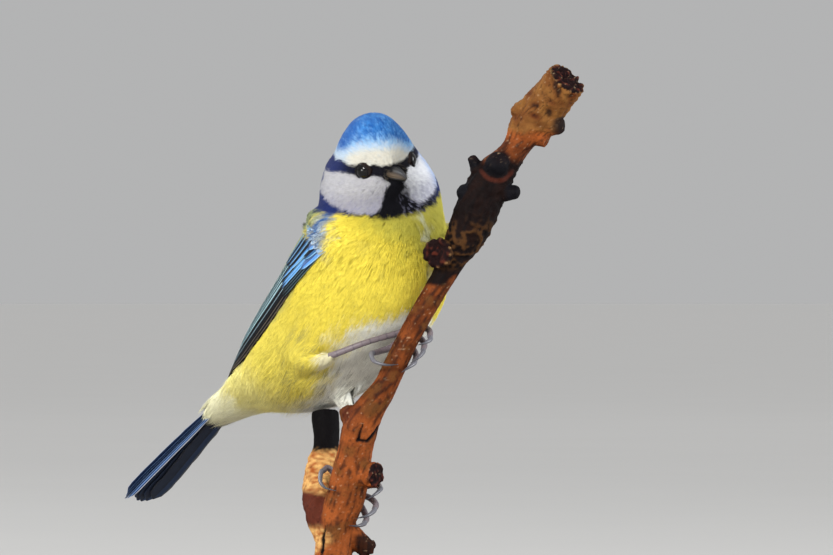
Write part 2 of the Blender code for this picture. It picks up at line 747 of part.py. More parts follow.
# Legs: places read on the right and the left leg, from thigh to claw tips
LEG_PLACES = {
    "right": {
        "thigh": ((-12.5, -5.5, 63.5), (-7.8, -13.2, 62.9), (-3.8, -17.4, 64.9)),
        "tarsus": ((-3.1, -17.9, 65.3), (4.0, -18.7, 68.0), (12.2, -16.2, 70.6)),
        "toes": (
            ((12.3, -16.0, 69.3), (10.0, -16.2, 66.9), (7.2, -18.0, 65.9), (5.7, -20.4, 65.5)),
            ((13.1, -15.8, 70.7), (16.4, -15.9, 71.7), (18.7, -17.9, 70.9), (19.0, -20.7, 69.2)),
            ((12.9, -15.7, 70.3), (15.8, -15.7, 69.6), (17.6, -17.5, 67.9), (17.4, -20.3, 66.2)),
            ((12.4, -15.7, 69.4), (14.4, -15.6, 67.2), (15.7, -17.3, 65.1), (15.4, -19.9, 63.6)),
        ),
        "claws": (
            ((5.9, -23.4, 63.7), (8.7, -24.5, 62.8), (11.6, -23.9, 62.9)),
            ((17.7, -23.3, 67.9), (15.9, -23.9, 67.4)),
            ((16.2, -23.0, 64.4), (14.4, -23.7, 63.2)),
            ((13.9, -22.5, 62.1), (12.3, -23.6, 61.0)),
        ),
    },
    "left": {
        "thigh": ((-3.0, 1.0, 57.0), (-0.5, -2.6, 53.0), (1.0, -5.4, 49.6)),
        "tarsus": ((1.1, -5.7, 49.0), (1.2, -7.4, 41.0), (1.0, -8.6, 33.4)),
        "toes": (
            ((0.2, -9.0, 32.6), (-2.5, -8.8, 35.6), (-5.0, -9.8, 38.2), (-6.2, -12.0, 37.6)),
            ((1.4, -8.8, 32.9), (4.4, -9.3, 34.0), (6.6, -11.6, 34.2), (7.2, -14.4, 33.6)),
            ((1.4, -8.7, 32.2), (4.6, -9.1, 31.2), (6.2, -11.6, 29.8), (5.9, -14.6, 28.6)),
            ((1.0, -8.8, 31.6), (2.9, -8.9, 28.9), (4.0, -11.0, 26.5), (3.6, -14.0, 25.5)),
        ),
        "claws": (
            ((-6.8, -15.5, 35.2), (-5.6, -18.0, 33.8), (-2.9, -19.4, 33.1)),
            ((6.0, -17.6, 32.2), (4.0, -18.9, 31.0)),
            ((4.2, -17.9, 27.2), (1.6, -19.0, 26.6)),
            ((2.0, -17.4, 24.8), (0.0, -18.4, 24.9)),
        ),
    },
}


def claw_route(toe, bend):
    """Places along a claw: straight out of the toe's end for a little way, then its own bend."""
    tip = np.array(toe[-1])
    ahead = unit(tip - np.array(toe[-2]))
    return [tip + ahead * CLAW_STANDOFF, tip + ahead * (CLAW_STANDOFF + 0.5), *bend]


def make_leg(name, materials):
    places = LEG_PLACES[name]
    thigh = curved_tube("thigh_" + name, places["thigh"], (3.8, 2.9, 1.2), 7, 12,
                        materials["breast_yellow"])
    cut(thigh, [body_cutter(GAP + 0.12)])
    tarsus = curved_tube("tarsus_" + name, places["tarsus"], (0.80, TARSUS_RADIUS, 0.74), 7, 10,
                         materials["leg_blue_grey"])
    toes = []
    for number, route in enumerate(places["toes"]):
        toes.append(curved_tube("toe", route, (0.62, TOE_RADIUS, TOE_RADIUS, 0.62), 6, 6,
                                materials["leg_blue_grey"]))
        curved_tube(f"claw_{name}_{number + 1}", claw_route(route, places["claws"][number]),
                    (CLAW_RADIUS, CLAW_RADIUS * 0.8, 0.10), 6, 6, materials["claw_grey"])
    foot_centre = np.mean([route[0] for route in places["toes"]], axis=0)
    foot_radii = np.array(FOOT_RADII)
    foot = ball("foot_" + name, foot_centre, foot_radii, WORLD_AXES, materials["leg_blue_grey"], 10, 6)
    fuse(foot, toes)
    cut(foot, [body_cutter(GAP)])
    cut(tarsus, [ball("ankle", foot_centre, foot_radii + GAP * 1.3, WORLD_AXES, None, 10, 6)])


# Branch: axis and radius of the main stem from the cut lower end to the cut top
STEM_POINTS = (
    (-3.9, -14.0, 16.0), (-3.4, -14.0, 21.3), (-2.7, -14.2, 26.3), (-1.0, -14.3, 31.0),
    (0.1, -14.9, 35.8), (1.5, -16.0, 42.8), (2.6, -17.2, 47.8), (5.0, -18.4, 52.5),
    (8.2, -19.4, 57.2), (10.9, -20.0, 62.7), (13.5, -20.3, 68.3), (18.9, -20.6, 78.0),
    (21.9, -20.9, 83.1), (25.1, -21.2, 89.0), (28.4, -21.5, 95.1), (31.0, -21.8, 101.5),
    (34.1, -22.0, 107.4), (38.5, -22.2, 112.8), (42.0, -22.3, 118.6), (45.6, -22.5, 123.6),
)
STEM_RADII = (4.6, 4.3, 4.3, 4.6, 4.6, 4.2, 4.2, 3.6, 3.0, 2.75, 2.7, 2.75,
              2.9, 3.5, 4.8, 4.9, 4.5, 3.2, 4.2, 4.7)
BRANCH_POINTS = ((-6.0, 4.5, 51.2), (-5.8, 3.5, 48.1), (-5.7, 1.0, 43.4), (-6.9, -3.0, 37.5),
                 (-7.6, -7.0, 31.7), (-6.4, -10.5, 27.1), (-4.6, -13.0, 21.5))
BRANCH_RADII = (3.3, 3.3, 3.1, 3.5, 3.6, 3.8, 3.4)


def uneven_tube(name, points, radii, count, sides, material, waves):
    """Tube with slow ripples round and along it, as on bark."""
    places = np.linspace(0.0, 1.0, count)
    route = along_points(points, places)
    lengths = np.linalg.norm(np.diff(np.asarray(points, float), axis=0), axis=1)
    knots = np.concatenate([[0.0], np.cumsum(lengths)])
    sizes = smooth_curve(knots / knots[-1], np.asarray(radii, float), places)
    rings = tube_rings(route, sizes, sides)
    for i, ring in enumerate(rings):
        for k, point in enumerate(ring):
            angle = 2.0 * math.pi * k / sides
            swell = waves * (math.sin(3.0 * angle + 0.9 * i) + 0.7 * math.sin(2.0 * angle - 1.7 * i))
            ring[k] = route[i] + (point - route[i]) * (1.0 + swell)
    return loft(name, rings, material)


def make_branch(materials):
    bark = materials["bark_brown"]
    stem = uneven_tube("branch", STEM_POINTS, STEM_RADII, 30, 10, bark, 0.018)
    pieces = [uneven_tube("side", BRANCH_POINTS, BRANCH_RADII, 9, 9, None, 0.03)]
    knobs = (
        ((32.0, -22.0, 105.0), (28.9, -23.5, 111.2), 2.3, 1.2),
        ((34.0, -22.0, 108.0), (34.8, -26.6, 110.2), 3.0, 2.7),
        ((34.5, -22.5, 103.0), (39.0, -24.0, 103.2), 2.2, 1.7),
        ((42.5, -22.0, 120.5), (39.4, -22.8, 123.8), 2.8, 2.2),
        ((44.0, -22.5, 119.0), (49.2, -24.0, 118.8), 2.6, 2.2),
        ((27.0, -20.5, 91.0), (23.8, -23.0, 91.6), 2.4, 1.9),
        ((22.6, -20.5, 88.4), (20.6, -25.8, 89.0), 2.9, 3.3),
        ((1.6, -15.5, 37.0), (6.4, -19.2, 36.8), 3.1, 3.0),
        ((-1.5, -14.5, 24.5), (4.8, -12.8, 18.5), 2.7, 2.3),
        ((0.6, -16.8, 51.0), (-1.3, -17.8, 50.4), 2.5, 2.1),
        ((44.8, -21.0, 121.8), (51.0, -26.6, 129.6), 5.0, 4.5),
        ((42.5, -22.0, 117.0), (46.4, -23.6, 115.2), 2.3, 1.7),
        ((30.0, -21.5, 101.0), (26.7, -22.5, 103.6), 2.4, 1.8),
    )
    for root, tip, root_radius, tip_radius in knobs:
        route = [mix(root, tip, share) for share in (0.0, 0.6, 1.0)]
        radii = (root_radius, mix(root_radius, tip_radius, 0.5), tip_radius)
        pieces.append(tube("knob", route, radii, 8, None))
    return fuse(stem, pieces)


def disc_rings(heights_and_radii, centre, sides):
    rings = []
    for height, radius in heights_and_radii:
        ring = []
        for k in range(sides):
            angle = 2.0 * math.pi * k / sides
            ring.append(np.array([centre[0] + radius * math.cos(angle),
                                  centre[1] + radius * math.sin(angle), height]))
        rings.append(ring)
    return rings


def make_stand(materials):
    profile = ((0.0, BASE_RADIUS), (BASE_HEIGHT - BASE_BEVEL, BASE_RADIUS),
               (BASE_HEIGHT - BASE_BEVEL * 0.3, BASE_RADIUS - BASE_BEVEL * 0.3),
               (BASE_HEIGHT, BASE_RADIUS - BASE_BEVEL))
    loft("stand_base", disc_rings(profile, (0.0, 0.0), 36), materials["stand_wood"])
    foot = STEM_POINTS[0]
    rod = ((BASE_HEIGHT + GAP, ROD_RADIUS), (CUT_END_HEIGHT - GAP - 0.4, ROD_RADIUS))
    loft("stand_rod", disc_rings(rod, foot[:2], 20), materials["stand_steel"])


def clear_scene():
    for obj in list(bpy.data.objects):
        bpy.data.objects.remove(obj)


def main():
    clear_scene()
    materials = make_materials()
    make_torso(materials)
    make_neck(materials)
    make_head(materials)
    make_bill(materials)
    make_eyes(materials)
    make_wing("wing_right", 1.0, materials)
    make_wing("wing_left", -1.0, materials)
    make_tail(materials)
    make_leg("right", materials)
    make_leg("left", materials)
    make_branch(materials)
    make_stand(materials)


main()
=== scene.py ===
"""Looks of the life-size blue tit on its cut branch and plain display stand.

Sizes are in millimetres until a mesh is made, but the floor, the lights and the camera are placed
in metres. The viewer looks along +Y. Places on the body are read from the same rings as its
solids: a place counts rings from the rump (0) to the crown (12), and a turn goes round a ring from
the bird's right side (0) over its back (90 degrees).
"""

import json
import math

import bmesh
import bpy
import numpy as np
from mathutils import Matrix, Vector, noise
from mathutils.bvhtree import BVHTree

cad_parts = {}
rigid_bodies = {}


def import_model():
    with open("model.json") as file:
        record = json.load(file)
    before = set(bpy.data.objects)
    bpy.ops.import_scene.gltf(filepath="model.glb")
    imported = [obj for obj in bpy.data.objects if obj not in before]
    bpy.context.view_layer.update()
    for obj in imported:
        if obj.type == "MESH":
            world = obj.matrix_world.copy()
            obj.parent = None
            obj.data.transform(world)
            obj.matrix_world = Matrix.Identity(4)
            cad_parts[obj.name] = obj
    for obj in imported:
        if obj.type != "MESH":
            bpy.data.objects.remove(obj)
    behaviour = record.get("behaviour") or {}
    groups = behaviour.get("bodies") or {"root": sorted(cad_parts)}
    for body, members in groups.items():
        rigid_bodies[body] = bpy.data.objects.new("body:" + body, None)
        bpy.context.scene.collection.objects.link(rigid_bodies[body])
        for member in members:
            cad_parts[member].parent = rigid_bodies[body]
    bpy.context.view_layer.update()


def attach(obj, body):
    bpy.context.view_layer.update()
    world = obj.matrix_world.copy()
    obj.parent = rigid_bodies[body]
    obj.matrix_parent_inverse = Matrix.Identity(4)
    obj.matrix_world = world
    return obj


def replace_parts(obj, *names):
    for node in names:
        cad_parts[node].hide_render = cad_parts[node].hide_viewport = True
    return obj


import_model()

MM = 0.001
SEED = 20
UP = np.array([0.0, 0.0, 1.0])

# Attitude of the three main parts of the body, in degrees, and their key places
BODY_YAW = 50.0
BODY_PITCH = 50.0
HEAD_YAW = 22.0
HEAD_DROP = 8.0
HEAD_LEAN = 13.7
TAIL_YAW = 60.0
TAIL_DROP = 41.5
TAIL_ROLL = 11.0
BODY_CENTRE = np.array([0.9, 0.0, 76.7])
EYE_MIDPOINT = np.array([8.8, -13.5, 109.8])

# Eyes, lids and bill
EYE_RADIUS = 2.35
EYE_SPREADS = {1.0: 5.4, -1.0: 5.1}
EYE_FORWARD_ANGLE = 30.0
LID_RADIUS = 1.74
LID_THICKNESS = 0.24
BILL_LENGTH = 7.4
BILL_BASE_FORWARD = 4.7
BILL_BASE_DROP = 1.6
BILL_HALF_WIDTH = 1.9
BILL_UPPER_HEIGHT = 1.75
BILL_LOWER_HEIGHT = 1.25

# Tail and display stand
TAIL_LENGTH = 35.0
TAIL_PAIRS = 6
BASE_RADIUS = 50.0
BASE_HEIGHT = 6.5
ROD_RADIUS = 2.6
CUT_END_HEIGHT = 16.0


def unit(vector):
    vector = np.asarray(vector, dtype=float)
    return vector / np.linalg.norm(vector, axis=-1, keepdims=True)


def dot(first, second):
    return np.sum(np.asarray(first) * np.asarray(second), axis=-1)


def mix(first, second, share):
    return np.asarray(first) * (1.0 - share) + np.asarray(second) * share


def ease(low, high, value):
    """Smooth step from 0 at low to 1 at high."""
    t = np.clip((np.asarray(value, dtype=float) - low) / (high - low), 0.0, 1.0)
    return t * t * (3.0 - 2.0 * t)


def circle(count):
    """Evenly spaced turns once round, in radians."""
    return 2.0 * math.pi * np.arange(count) / count


def heading(yaw):
    angle = math.radians(yaw)
    return np.array([math.sin(angle), -math.cos(angle), 0.0])


def body_axes():
    """Cranial, right and dorsal directions of the trunk."""
    ahead = heading(BODY_YAW)
    right = np.cross(ahead, UP)
    pitch = math.radians(BODY_PITCH)
    cranial = ahead * math.cos(pitch) + UP * math.sin(pitch)
    return cranial, right, np.cross(right, cranial)


def head_axes():
    """Forward, right and up directions of the head."""
    ahead = heading(HEAD_YAW)
    level_right = np.cross(ahead, UP)
    drop = math.radians(HEAD_DROP)
    forward = ahead * math.cos(drop) - UP * math.sin(drop)
    level_up = np.cross(level_right, forward)
    lean = math.radians(HEAD_LEAN)
    right = level_right * math.cos(lean) - level_up * math.sin(lean)
    return forward, right, level_up * math.cos(lean) + level_right * math.sin(lean)


def tail_axes():
    """Direction to the tail's tip, right and upper side of the tail."""
    ahead = heading(TAIL_YAW)
    level_right = np.cross(ahead, UP)
    drop = math.radians(TAIL_DROP)
    back = -ahead * math.cos(drop) - UP * math.sin(drop)
    level_upper = np.cross(back, level_right)
    roll = math.radians(TAIL_ROLL)
    right = level_right * math.cos(roll) + level_upper * math.sin(roll)
    return back, right, np.cross(back, right)


CRANIAL, RIGHT, DORSAL = body_axes()
FACE, HEAD_RIGHT, HEAD_UP = head_axes()
TAIL_BACK, TAIL_RIGHT, TAIL_UPPER = tail_axes()


def in_body(along, right, dorsal):
    return BODY_CENTRE + CRANIAL * along + RIGHT * right + DORSAL * dorsal


def in_head(forward, right, up):
    return EYE_MIDPOINT + FACE * forward + HEAD_RIGHT * right + HEAD_UP * up


def eye_centre(side):
    return in_head(0.0, side * EYE_SPREADS[side], 0.0)


def eye_axis(side):
    """Direction in which an eye looks."""
    angle = math.radians(EYE_FORWARD_ANGLE)
    return HEAD_RIGHT * side * math.cos(angle) + FACE * math.sin(angle)


def smooth_curve(knots, values, places):
    """Cubic curve through values at rising knots, read at places."""
    knots = np.asarray(knots, dtype=float)
    values = np.asarray(values, dtype=float)
    places = np.atleast_1d(np.asarray(places, dtype=float))
    slopes = np.empty_like(values)
    shape = (-1,) + (1,) * (values.ndim - 1)
    slopes[1:-1] = (values[2:] - values[:-2]) / (knots[2:] - knots[:-2]).reshape(shape)
    slopes[0] = (values[1] - values[0]) / (knots[1] - knots[0])
    slopes[-1] = (values[-1] - values[-2]) / (knots[-1] - knots[-2])
    low = np.clip(np.searchsorted(knots, places, side="right") - 1, 0, len(knots) - 2)
    width = (knots[low + 1] - knots[low]).reshape(shape)
    t = (places - knots[low]).reshape(shape) / width
    return ((2 * t**3 - 3 * t**2 + 1) * values[low] + (t**3 - 2 * t**2 + t) * width * slopes[low]
            + (-2 * t**3 + 3 * t**2) * values[low + 1] + (t**3 - t**2) * width * slopes[low + 1])


def length_knots(points):
    """Places of the points along their polyline, from 0 to 1."""
    steps = np.linalg.norm(np.diff(np.asarray(points, dtype=float), axis=0), axis=1)
    knots = np.concatenate([[0.0], np.cumsum(steps)])
    return knots / knots[-1]


def along_points(points, places):
    return smooth_curve(length_knots(points), points, places)


def nearest_on(points, route):
    """Distance from a polyline and the share of its length at the nearest place."""
    path = np.asarray(route, dtype=float)
    knots = length_knots(path)
    best = np.full(len(points), 1e9)
    share = np.zeros(len(points))
    for i in range(len(path) - 1):
        step = path[i + 1] - path[i]
        t = np.clip((points - path[i]) @ step / (step @ step), 0.0, 1.0)
        away = np.linalg.norm(points - path[i] - t[:, None] * step, axis=1)
        closer = away < best
        share = np.where(closer, mix(knots[i], knots[i + 1], t), share)
        best = np.where(closer, away, best)
    return best, share


def station(centre, axis, right, width, back, front, pinch=1.0):
    """One ring of the body: its middle, its axis, half width, depths and how narrow its front is."""
    return np.concatenate([centre, unit(axis), unit(right), [width, back, front, pinch]])


STATION_TABLE = np.array([
    station(in_body(-45.5, 0.7, 15.5), -TAIL_BACK, TAIL_RIGHT, 5.6, 2.7, 4.2),
    station(in_body(-37.3, 0.4, 11.6), mix(-TAIL_BACK, CRANIAL, 0.4), mix(TAIL_RIGHT, RIGHT, 0.5),
            8.6, 4.2, 6.0),
    station(in_body(-23.0, 0.0, 4.2), CRANIAL, RIGHT, 14.4, 12.6, 13.8),
    station(in_body(0.0, 0.0, 0.5), CRANIAL, RIGHT, 17.3, 16.6, 18.3),
    station(in_body(13.5, 0.0, 1.3), mix(CRANIAL, HEAD_UP, 0.15), mix(RIGHT, HEAD_RIGHT, 0.05),
            17.4, 16.6, 18.5),
    station(in_body(20.6, 0.0, 7.6), mix(CRANIAL, HEAD_UP, 0.7), mix(RIGHT, HEAD_RIGHT, 0.4),
            15.9, 14.4, 16.0),
    station(in_head(-8.7, 0.0, -9.5), HEAD_UP, mix(RIGHT, HEAD_RIGHT, 0.85), 14.4, 12.6, 13.4),
    station(in_head(-8.2, 0.0, -4.3), HEAD_UP, HEAD_RIGHT, 12.7, 12.4, 13.4, 1.3),
    station(in_head(-8.0, 0.0, 0.0), HEAD_UP, HEAD_RIGHT, 10.5, 11.8, 13.2, 1.6),
    station(in_head(-6.8, 0.0, 4.6), HEAD_UP, HEAD_RIGHT, 8.3, 10.6, 10.7, 1.3),
    station(in_head(-6.0, 0.0, 8.4), HEAD_UP, HEAD_RIGHT, 5.9, 7.8, 7.6, 1.1),
    station(in_head(-5.6, 0.0, 10.6), HEAD_UP, HEAD_RIGHT, 3.7, 4.6, 4.5),
    station(in_head(-5.5, 0.0, 11.5), HEAD_UP, HEAD_RIGHT, 1.2, 1.4, 1.4),
])
STATION_KNOTS = np.concatenate(
    [[0.0], np.cumsum(np.linalg.norm(np.diff(STATION_TABLE[:, :3], axis=0), axis=1))])
CROWN = len(STATION_TABLE) - 1
CROWN_TOP = 11.62


def body_points(places, turns, lift=0.0):
    """Points of the body's surface at arrays of places and turns, raised by lift."""
    places, turns, lift = np.broadcast_arrays(
        *(np.asarray(a, dtype=float) for a in (places, turns, lift)))
    low = np.clip(places.astype(int), 0, CROWN - 1)
    knots = mix(STATION_KNOTS[low], STATION_KNOTS[low + 1], places - low)
    rows = smooth_curve(STATION_KNOTS, STATION_TABLE, knots.ravel()).reshape(places.shape + (-1,))
    middle, axis, right, sizes = np.split(rows, (3, 6, 9), axis=-1)
    width, back, front, pinch = np.moveaxis(sizes, -1, 0)
    axis = unit(axis)
    right = unit(right - axis * dot(right, axis)[..., None])
    ahead = np.cross(axis, right)
    across = np.cos(turns)
    depth = np.sin(turns)
    across = np.sign(across) * np.abs(across)**np.where(depth < 0.0, pinch, 1.0)
    reach = (np.where(depth > 0.0, back, front) + lift) * depth
    side = (width + lift) * across
    return middle + right * side[..., None] - ahead * reach[..., None]


def srgb(red, green, blue):
    """Linear colour from 0 to 255 values as a screen shows them."""
    value = np.array([red, green, blue]) / 255.0
    return np.where(value <= 0.04045, value / 12.92, ((value + 0.055) / 1.055)**2.4)


def noise_at(points, scale, shift=0.0):
    """Smooth noise from about -1 to 1 at points in millimetres; scale is the size of its patches."""
    return np.array([noise.noise(Vector(p) / scale + Vector((shift, 0.0, 0.0))) for p in points])


# Meshes from arrays

def read(items, key, width, kind=np.float32):
    """Rows of numbers from a mesh's items."""
    values = np.empty(len(items) * width, kind)
    items.foreach_get(key, values)
    return values.reshape(-1, width)


def mesh_points(obj):
    return read(obj.data.vertices, "co", 3).astype(float) / MM


def add_tint(mesh, colours):
    tint = mesh.color_attributes.new(name="tint", type="FLOAT_COLOR", domain="POINT")
    opaque = np.ones((len(colours), 1))
    tint.data.foreach_set("color", np.hstack([colours, opaque]).ravel())


def modify(obj, kind, **settings):
    modifier = obj.modifiers.new(kind, kind)
    for key, value in settings.items():
        setattr(modifier, key, value)


def bake_modifiers(obj):
    """Applies the object's modifiers and keeps the result as its mesh."""
    bpy.context.view_layer.update()
    seen = obj.evaluated_get(bpy.context.evaluated_depsgraph_get())
    result = bpy.data.meshes.new_from_object(seen)
    obj.modifiers.clear()
    old = obj.data
    obj.data = result
    bpy.data.meshes.remove(old)


def link_new(name, data):
    obj = bpy.data.objects.new(name, data)
    bpy.context.scene.collection.objects.link(obj)
    return obj


def make_mesh(name, points, faces, colours=None, uvs=None):
    """Object from points in millimetres and equal-sided faces, with a tint and the bake map."""
    mesh = bpy.data.meshes.new(name)
    faces = np.asarray(faces)
    mesh.vertices.add(len(points))
    mesh.vertices.foreach_set("co", (np.asarray(points) * MM).ravel())
    mesh.loops.add(faces.size)
    mesh.loops.foreach_set("vertex_index", faces.ravel())
    mesh.polygons.add(len(faces))
    mesh.polygons.foreach_set("loop_start", np.arange(0, faces.size, faces.shape[1]))
    mesh.update(calc_edges=True)
    if colours is not None:
        add_tint(mesh, colours)
    if uvs is not None:
        layer = mesh.uv_layers.new(name="OFBake")
        layer.data.foreach_set("uv", np.asarray(uvs).ravel())
    mesh.shade_smooth()
    return link_new(name, mesh)


def face_out(obj):
    """Turns the faces of closed surfaces outwards."""
    shell = bmesh.new()
    shell.from_mesh(obj.data)
    bmesh.ops.recalc_face_normals(shell, faces=shell.faces)
    shell.to_mesh(obj.data)
    shell.free()
    return obj


WHOLE_MAP = (0.0, 0.0, 1.0, 1.0)
TUBE_START_NORMAL = (0.31, -0.9, 0.3)


class Parts:
    """Collects several closed surfaces for one mesh."""

    def __init__(self):
        self.points = []
        self.faces = []
        self.colours = []
        self.uvs = []
        self.count = 0

    def add(self, points, faces, colours, uvs):
        self.points.append(points)
        self.faces.append(faces + self.count)
        self.colours.append(np.broadcast_to(colours, (len(points), 3)))
        self.uvs.append(uvs)
        self.count += len(points)

    def add_tube(self, route, sizes, around, colours, box=WHOLE_MAP):
        """Closed tube along a path; colours is one tint, or one for every point of the rings."""
        faces, uvs = tube_net(len(route), around, box)
        colours = np.asarray(colours)
        if colours.ndim > 1:
            colours = with_ends(colours, around)
        self.add(tube_points(route, sizes, around), faces, colours, uvs)

    def make(self, name):
        """One object of all that was added, its faces outwards."""
        return face_out(make_mesh(name, np.concatenate(self.points), np.concatenate(self.faces),
                                  np.concatenate(self.colours), np.concatenate(self.uvs)))


def with_ends(rows, around):
    """Rows for the points of a tube's rings, with two more for its end points."""
    return np.concatenate([rows, rows[:1], rows[-around:][:1]])


def tube_net(rings, sides, box=WHOLE_MAP):
    """Triangles and corner map of a closed tube; its two end points follow the rings."""
    i, k = np.meshgrid(np.arange(rings - 1), np.arange(sides), indexing="ij")
    i = i.ravel()
    k = k.ravel()
    following = (k + 1) % sides
    a = i * sides + k
    b = i * sides + following
    faces = np.concatenate([np.stack([a, a + sides, b + sides], 1), np.stack([a, b + sides, b], 1)])
    places = np.concatenate([np.stack([i, i + 1, i + 1], 1), np.stack([i, i + 1, i], 1)])
    turns = np.concatenate([np.stack([k, k, k + 1], 1), np.stack([k, k + 1, k + 1], 1)])
    k = np.arange(sides)
    following = (k + 1) % sides
    start = np.full(sides, rings * sides)
    last = (rings - 1) * sides
    faces = np.concatenate([faces, np.stack([start, k, following], 1),
                            np.stack([start + 1, last + following, last + k], 1)])
    first_row = np.zeros(sides)
    last_row = np.full(sides, rings - 1)
    places = np.concatenate([places, np.stack([first_row] * 3, 1), np.stack([last_row] * 3, 1)])
    turns = np.concatenate([turns, np.stack([k, k, k + 1], 1), np.stack([k, k + 1, k], 1)])
    uvs = np.stack([mix(box[0], box[2], turns / sides), mix(box[1], box[3], places / (rings - 1))], -1)
    return faces, uvs.reshape(-1, 2)


def tube_points(path, radii, around):
    """Rings of a tube along a path, turning as little as they can, and its two end points.

    radii is one size for a ring, or one for every point of every ring.
    """
    reference = unit(TUBE_START_NORMAL)
    sides = []
    rises = []
    for tangent in unit(np.gradient(path, axis=0)):
        side = unit(np.cross(tangent, reference))
        reference = np.cross(side, tangent)
        sides.append(side)
        rises.append(reference)
    turns = circle(around)
    radii = np.asarray(radii, dtype=float)
    if radii.ndim == 1:
        radii = np.repeat(radii[:, None], around, 1)
    across = (radii * np.cos(turns))[..., None]
    up = (radii * np.sin(turns))[..., None]
    rings = path[:, None, :] + np.array(sides)[:, None, :] * across + np.array(rises)[:, None, :] * up
    return np.concatenate([rings.reshape(-1, 3), path[:1], path[-1:]])


def plate_net(rows, columns):
    """Triangles of a closed plate: two grids of points, joined all round their rim."""
    i, k = np.meshgrid(np.arange(rows - 1), np.arange(columns - 1), indexing="ij")
    a = (i * columns + k).ravel()
    b = a + columns
    low = rows * columns
    rim = [*range(columns), *(row * columns + columns - 1 for row in range(1, rows))]
    rim += [(rows - 1) * columns + column for column in range(columns - 2, -1, -1)]
    rim += [row * columns for row in range(rows - 2, 0, -1)]
    rim = np.array(rim)
    following = np.roll(rim, -1)
    corners = ((a, a + 1, b + 1), (a, b + 1, b),
               (a + low, b + 1 + low, a + 1 + low), (a + low, b + low, b + 1 + low),
               (rim, rim + low, following + low), (rim, following + low, following))
    return np.concatenate([np.stack(three, 1) for three in corners])


# Markings: heights above the eyes (mm) of the edges of the head's bands, by the angle round the head

BAND_ANGLES = (-180.0, -120.0, -70.0, -45.0, -27.0, -15.0, -1.0, 12.0, 27.0, 43.0, 59.0, 73.0, 120.0, 180.0)
CAP_EDGE = (4.4, 3.4, 2.4, 2.6, 3.7, 5.2, 5.8, 6.1, 6.2, 6.0, 5.5, 4.8, 4.4, 4.4)
STRIPE_TOP = (1.8, 2.1, 1.9, 1.6, 1.4, 1.1, 0.9, 0.9, 1.2, 1.3, 1.6, 2.1, 2.6, 2.2)
STRIPE_LOW = (0.0, -0.6, -0.3, -0.8, -1.0, -1.5, -1.8, -1.8, -1.4, -1.2, -0.8, -0.2, -0.9, -0.6)
CHEEK_LOW = (-4.0, -4.8, -8.2, -9.8, -10.5, -10.2, -6.0, -4.2, -9.9, -10.1, -9.3, -8.4, -4.8, -4.0)
COLLAR_LOW = (-10.5, -10.6, -10.4, -11.8, -12.1, -12.2, -12.2, -12.1, -11.5, -10.6, -10.0, -9.9, -10.6, -10.5)
BIB_ANGLE = 9.0
CHEEK_BACK_ANGLE = 116.0
# Half width of the white belly along the body, and the white feathering of the right heel
BELLY_EDGE = ((-46.0, -30.0, -20.0, -12.0, -4.0, 4.0, 8.0, 12.0, 14.0),
              (2.6, 3.8, 6.0, 9.0, 11.4, 11.4, 8.6, 3.6, 0.0))
HEEL = (-4.2, -16.5, 63.6)

CAP_BLUE = srgb(62, 134, 206)
CAP_LIGHT = srgb(150, 196, 232)
CAP_DEEP = srgb(28, 84, 162)
BROW_WHITE = srgb(212, 209, 197)
BROW_BLUE = srgb(178, 200, 222)
STRIPE_NAVY = srgb(14, 14, 24)
NAPE_NAVY = srgb(28, 44, 104)
BIB_BLACK = srgb(15, 15, 22)
CHEEK_WHITE_SHADED = srgb(182, 182, 186)
CHEEK_LIT = srgb(246, 248, 252)
CHEEK_LILAC = srgb(150, 150, 178)
CHEEK_FAR_PAINTED_SHADE = srgb(160, 184, 228)
BREAST_YELLOW = srgb(246, 225, 84)
THROAT_YELLOW_SHADED = srgb(206, 186, 46)
FLANK_YELLOW = srgb(242, 224, 96)
PALE_YELLOW = srgb(250, 240, 152)
HEEL_WHITE = srgb(244, 238, 204)
VENT_WHITE = srgb(246, 246, 222)
BELLY_WHITE = srgb(246, 246, 234)
BELLY_GREY = srgb(120, 116, 92)
SHOULDER_OLIVE = srgb(150, 166, 96)
SHOULDER_BLUE = srgb(54, 96, 154)
SHOULDER_PALE = srgb(174, 190, 204)
TAIL_COVERT_BLUE = srgb(104, 140, 186)
MANTLE_GREEN = srgb(146, 156, 112)
MANTLE_DARK = srgb(54, 62, 60)
RUMP_GREEN = srgb(140, 166, 138)
DOWN_GREY = srgb(96, 100, 92)


def head_place(points):
    """Forward, right and up distances from the eyes' midpoint, and the angle round the head."""
    from_eyes = points - EYE_MIDPOINT
    forward = dot(from_eyes, FACE)
    right = dot(from_eyes, HEAD_RIGHT)
    up = dot(from_eyes, HEAD_UP)
    return forward, right, up, np.degrees(np.arctan2(right, forward + 7.0))


def body_place(points):
    from_centre = points - BODY_CENTRE
    return dot(from_centre, CRANIAL), dot(from_centre, RIGHT), dot(from_centre, DORSAL)


def ring_angle(points):
    """Degrees above the bird's side at its ring: -90 in front or below, 90 on the back."""
    samples = np.linspace(0.0, CROWN, 61)
    around = np.radians([0.0, 90.0, 180.0, 270.0])
    rings = body_points(samples[:, None], around[None, :])
    middles = rings.mean(axis=1)
    backs = unit(rings[:, 1] - rings[:, 3])
    sides = unit(rings[:, 0] - rings[:, 2])
    nearest = np.argmin(np.linalg.norm(points[:, None] - middles[None], axis=2), axis=1)
    off = points - middles[nearest]
    return np.degrees(np.arctan2(dot(off, backs[nearest]), np.abs(dot(off, sides[nearest]))))


def shade(first, second, share):
    """Mix of two colours or rows of colours, by one share a point, kept from 0 to 1."""
    return mix(first, second, np.clip(share, 0.0, 1.0)[:, None])


def paint(colours, *coats):
    """Colours with further coats over them, each a colour and its share."""
    for colour, share in coats:
        colours = shade(colours, colour, share)
    return colours


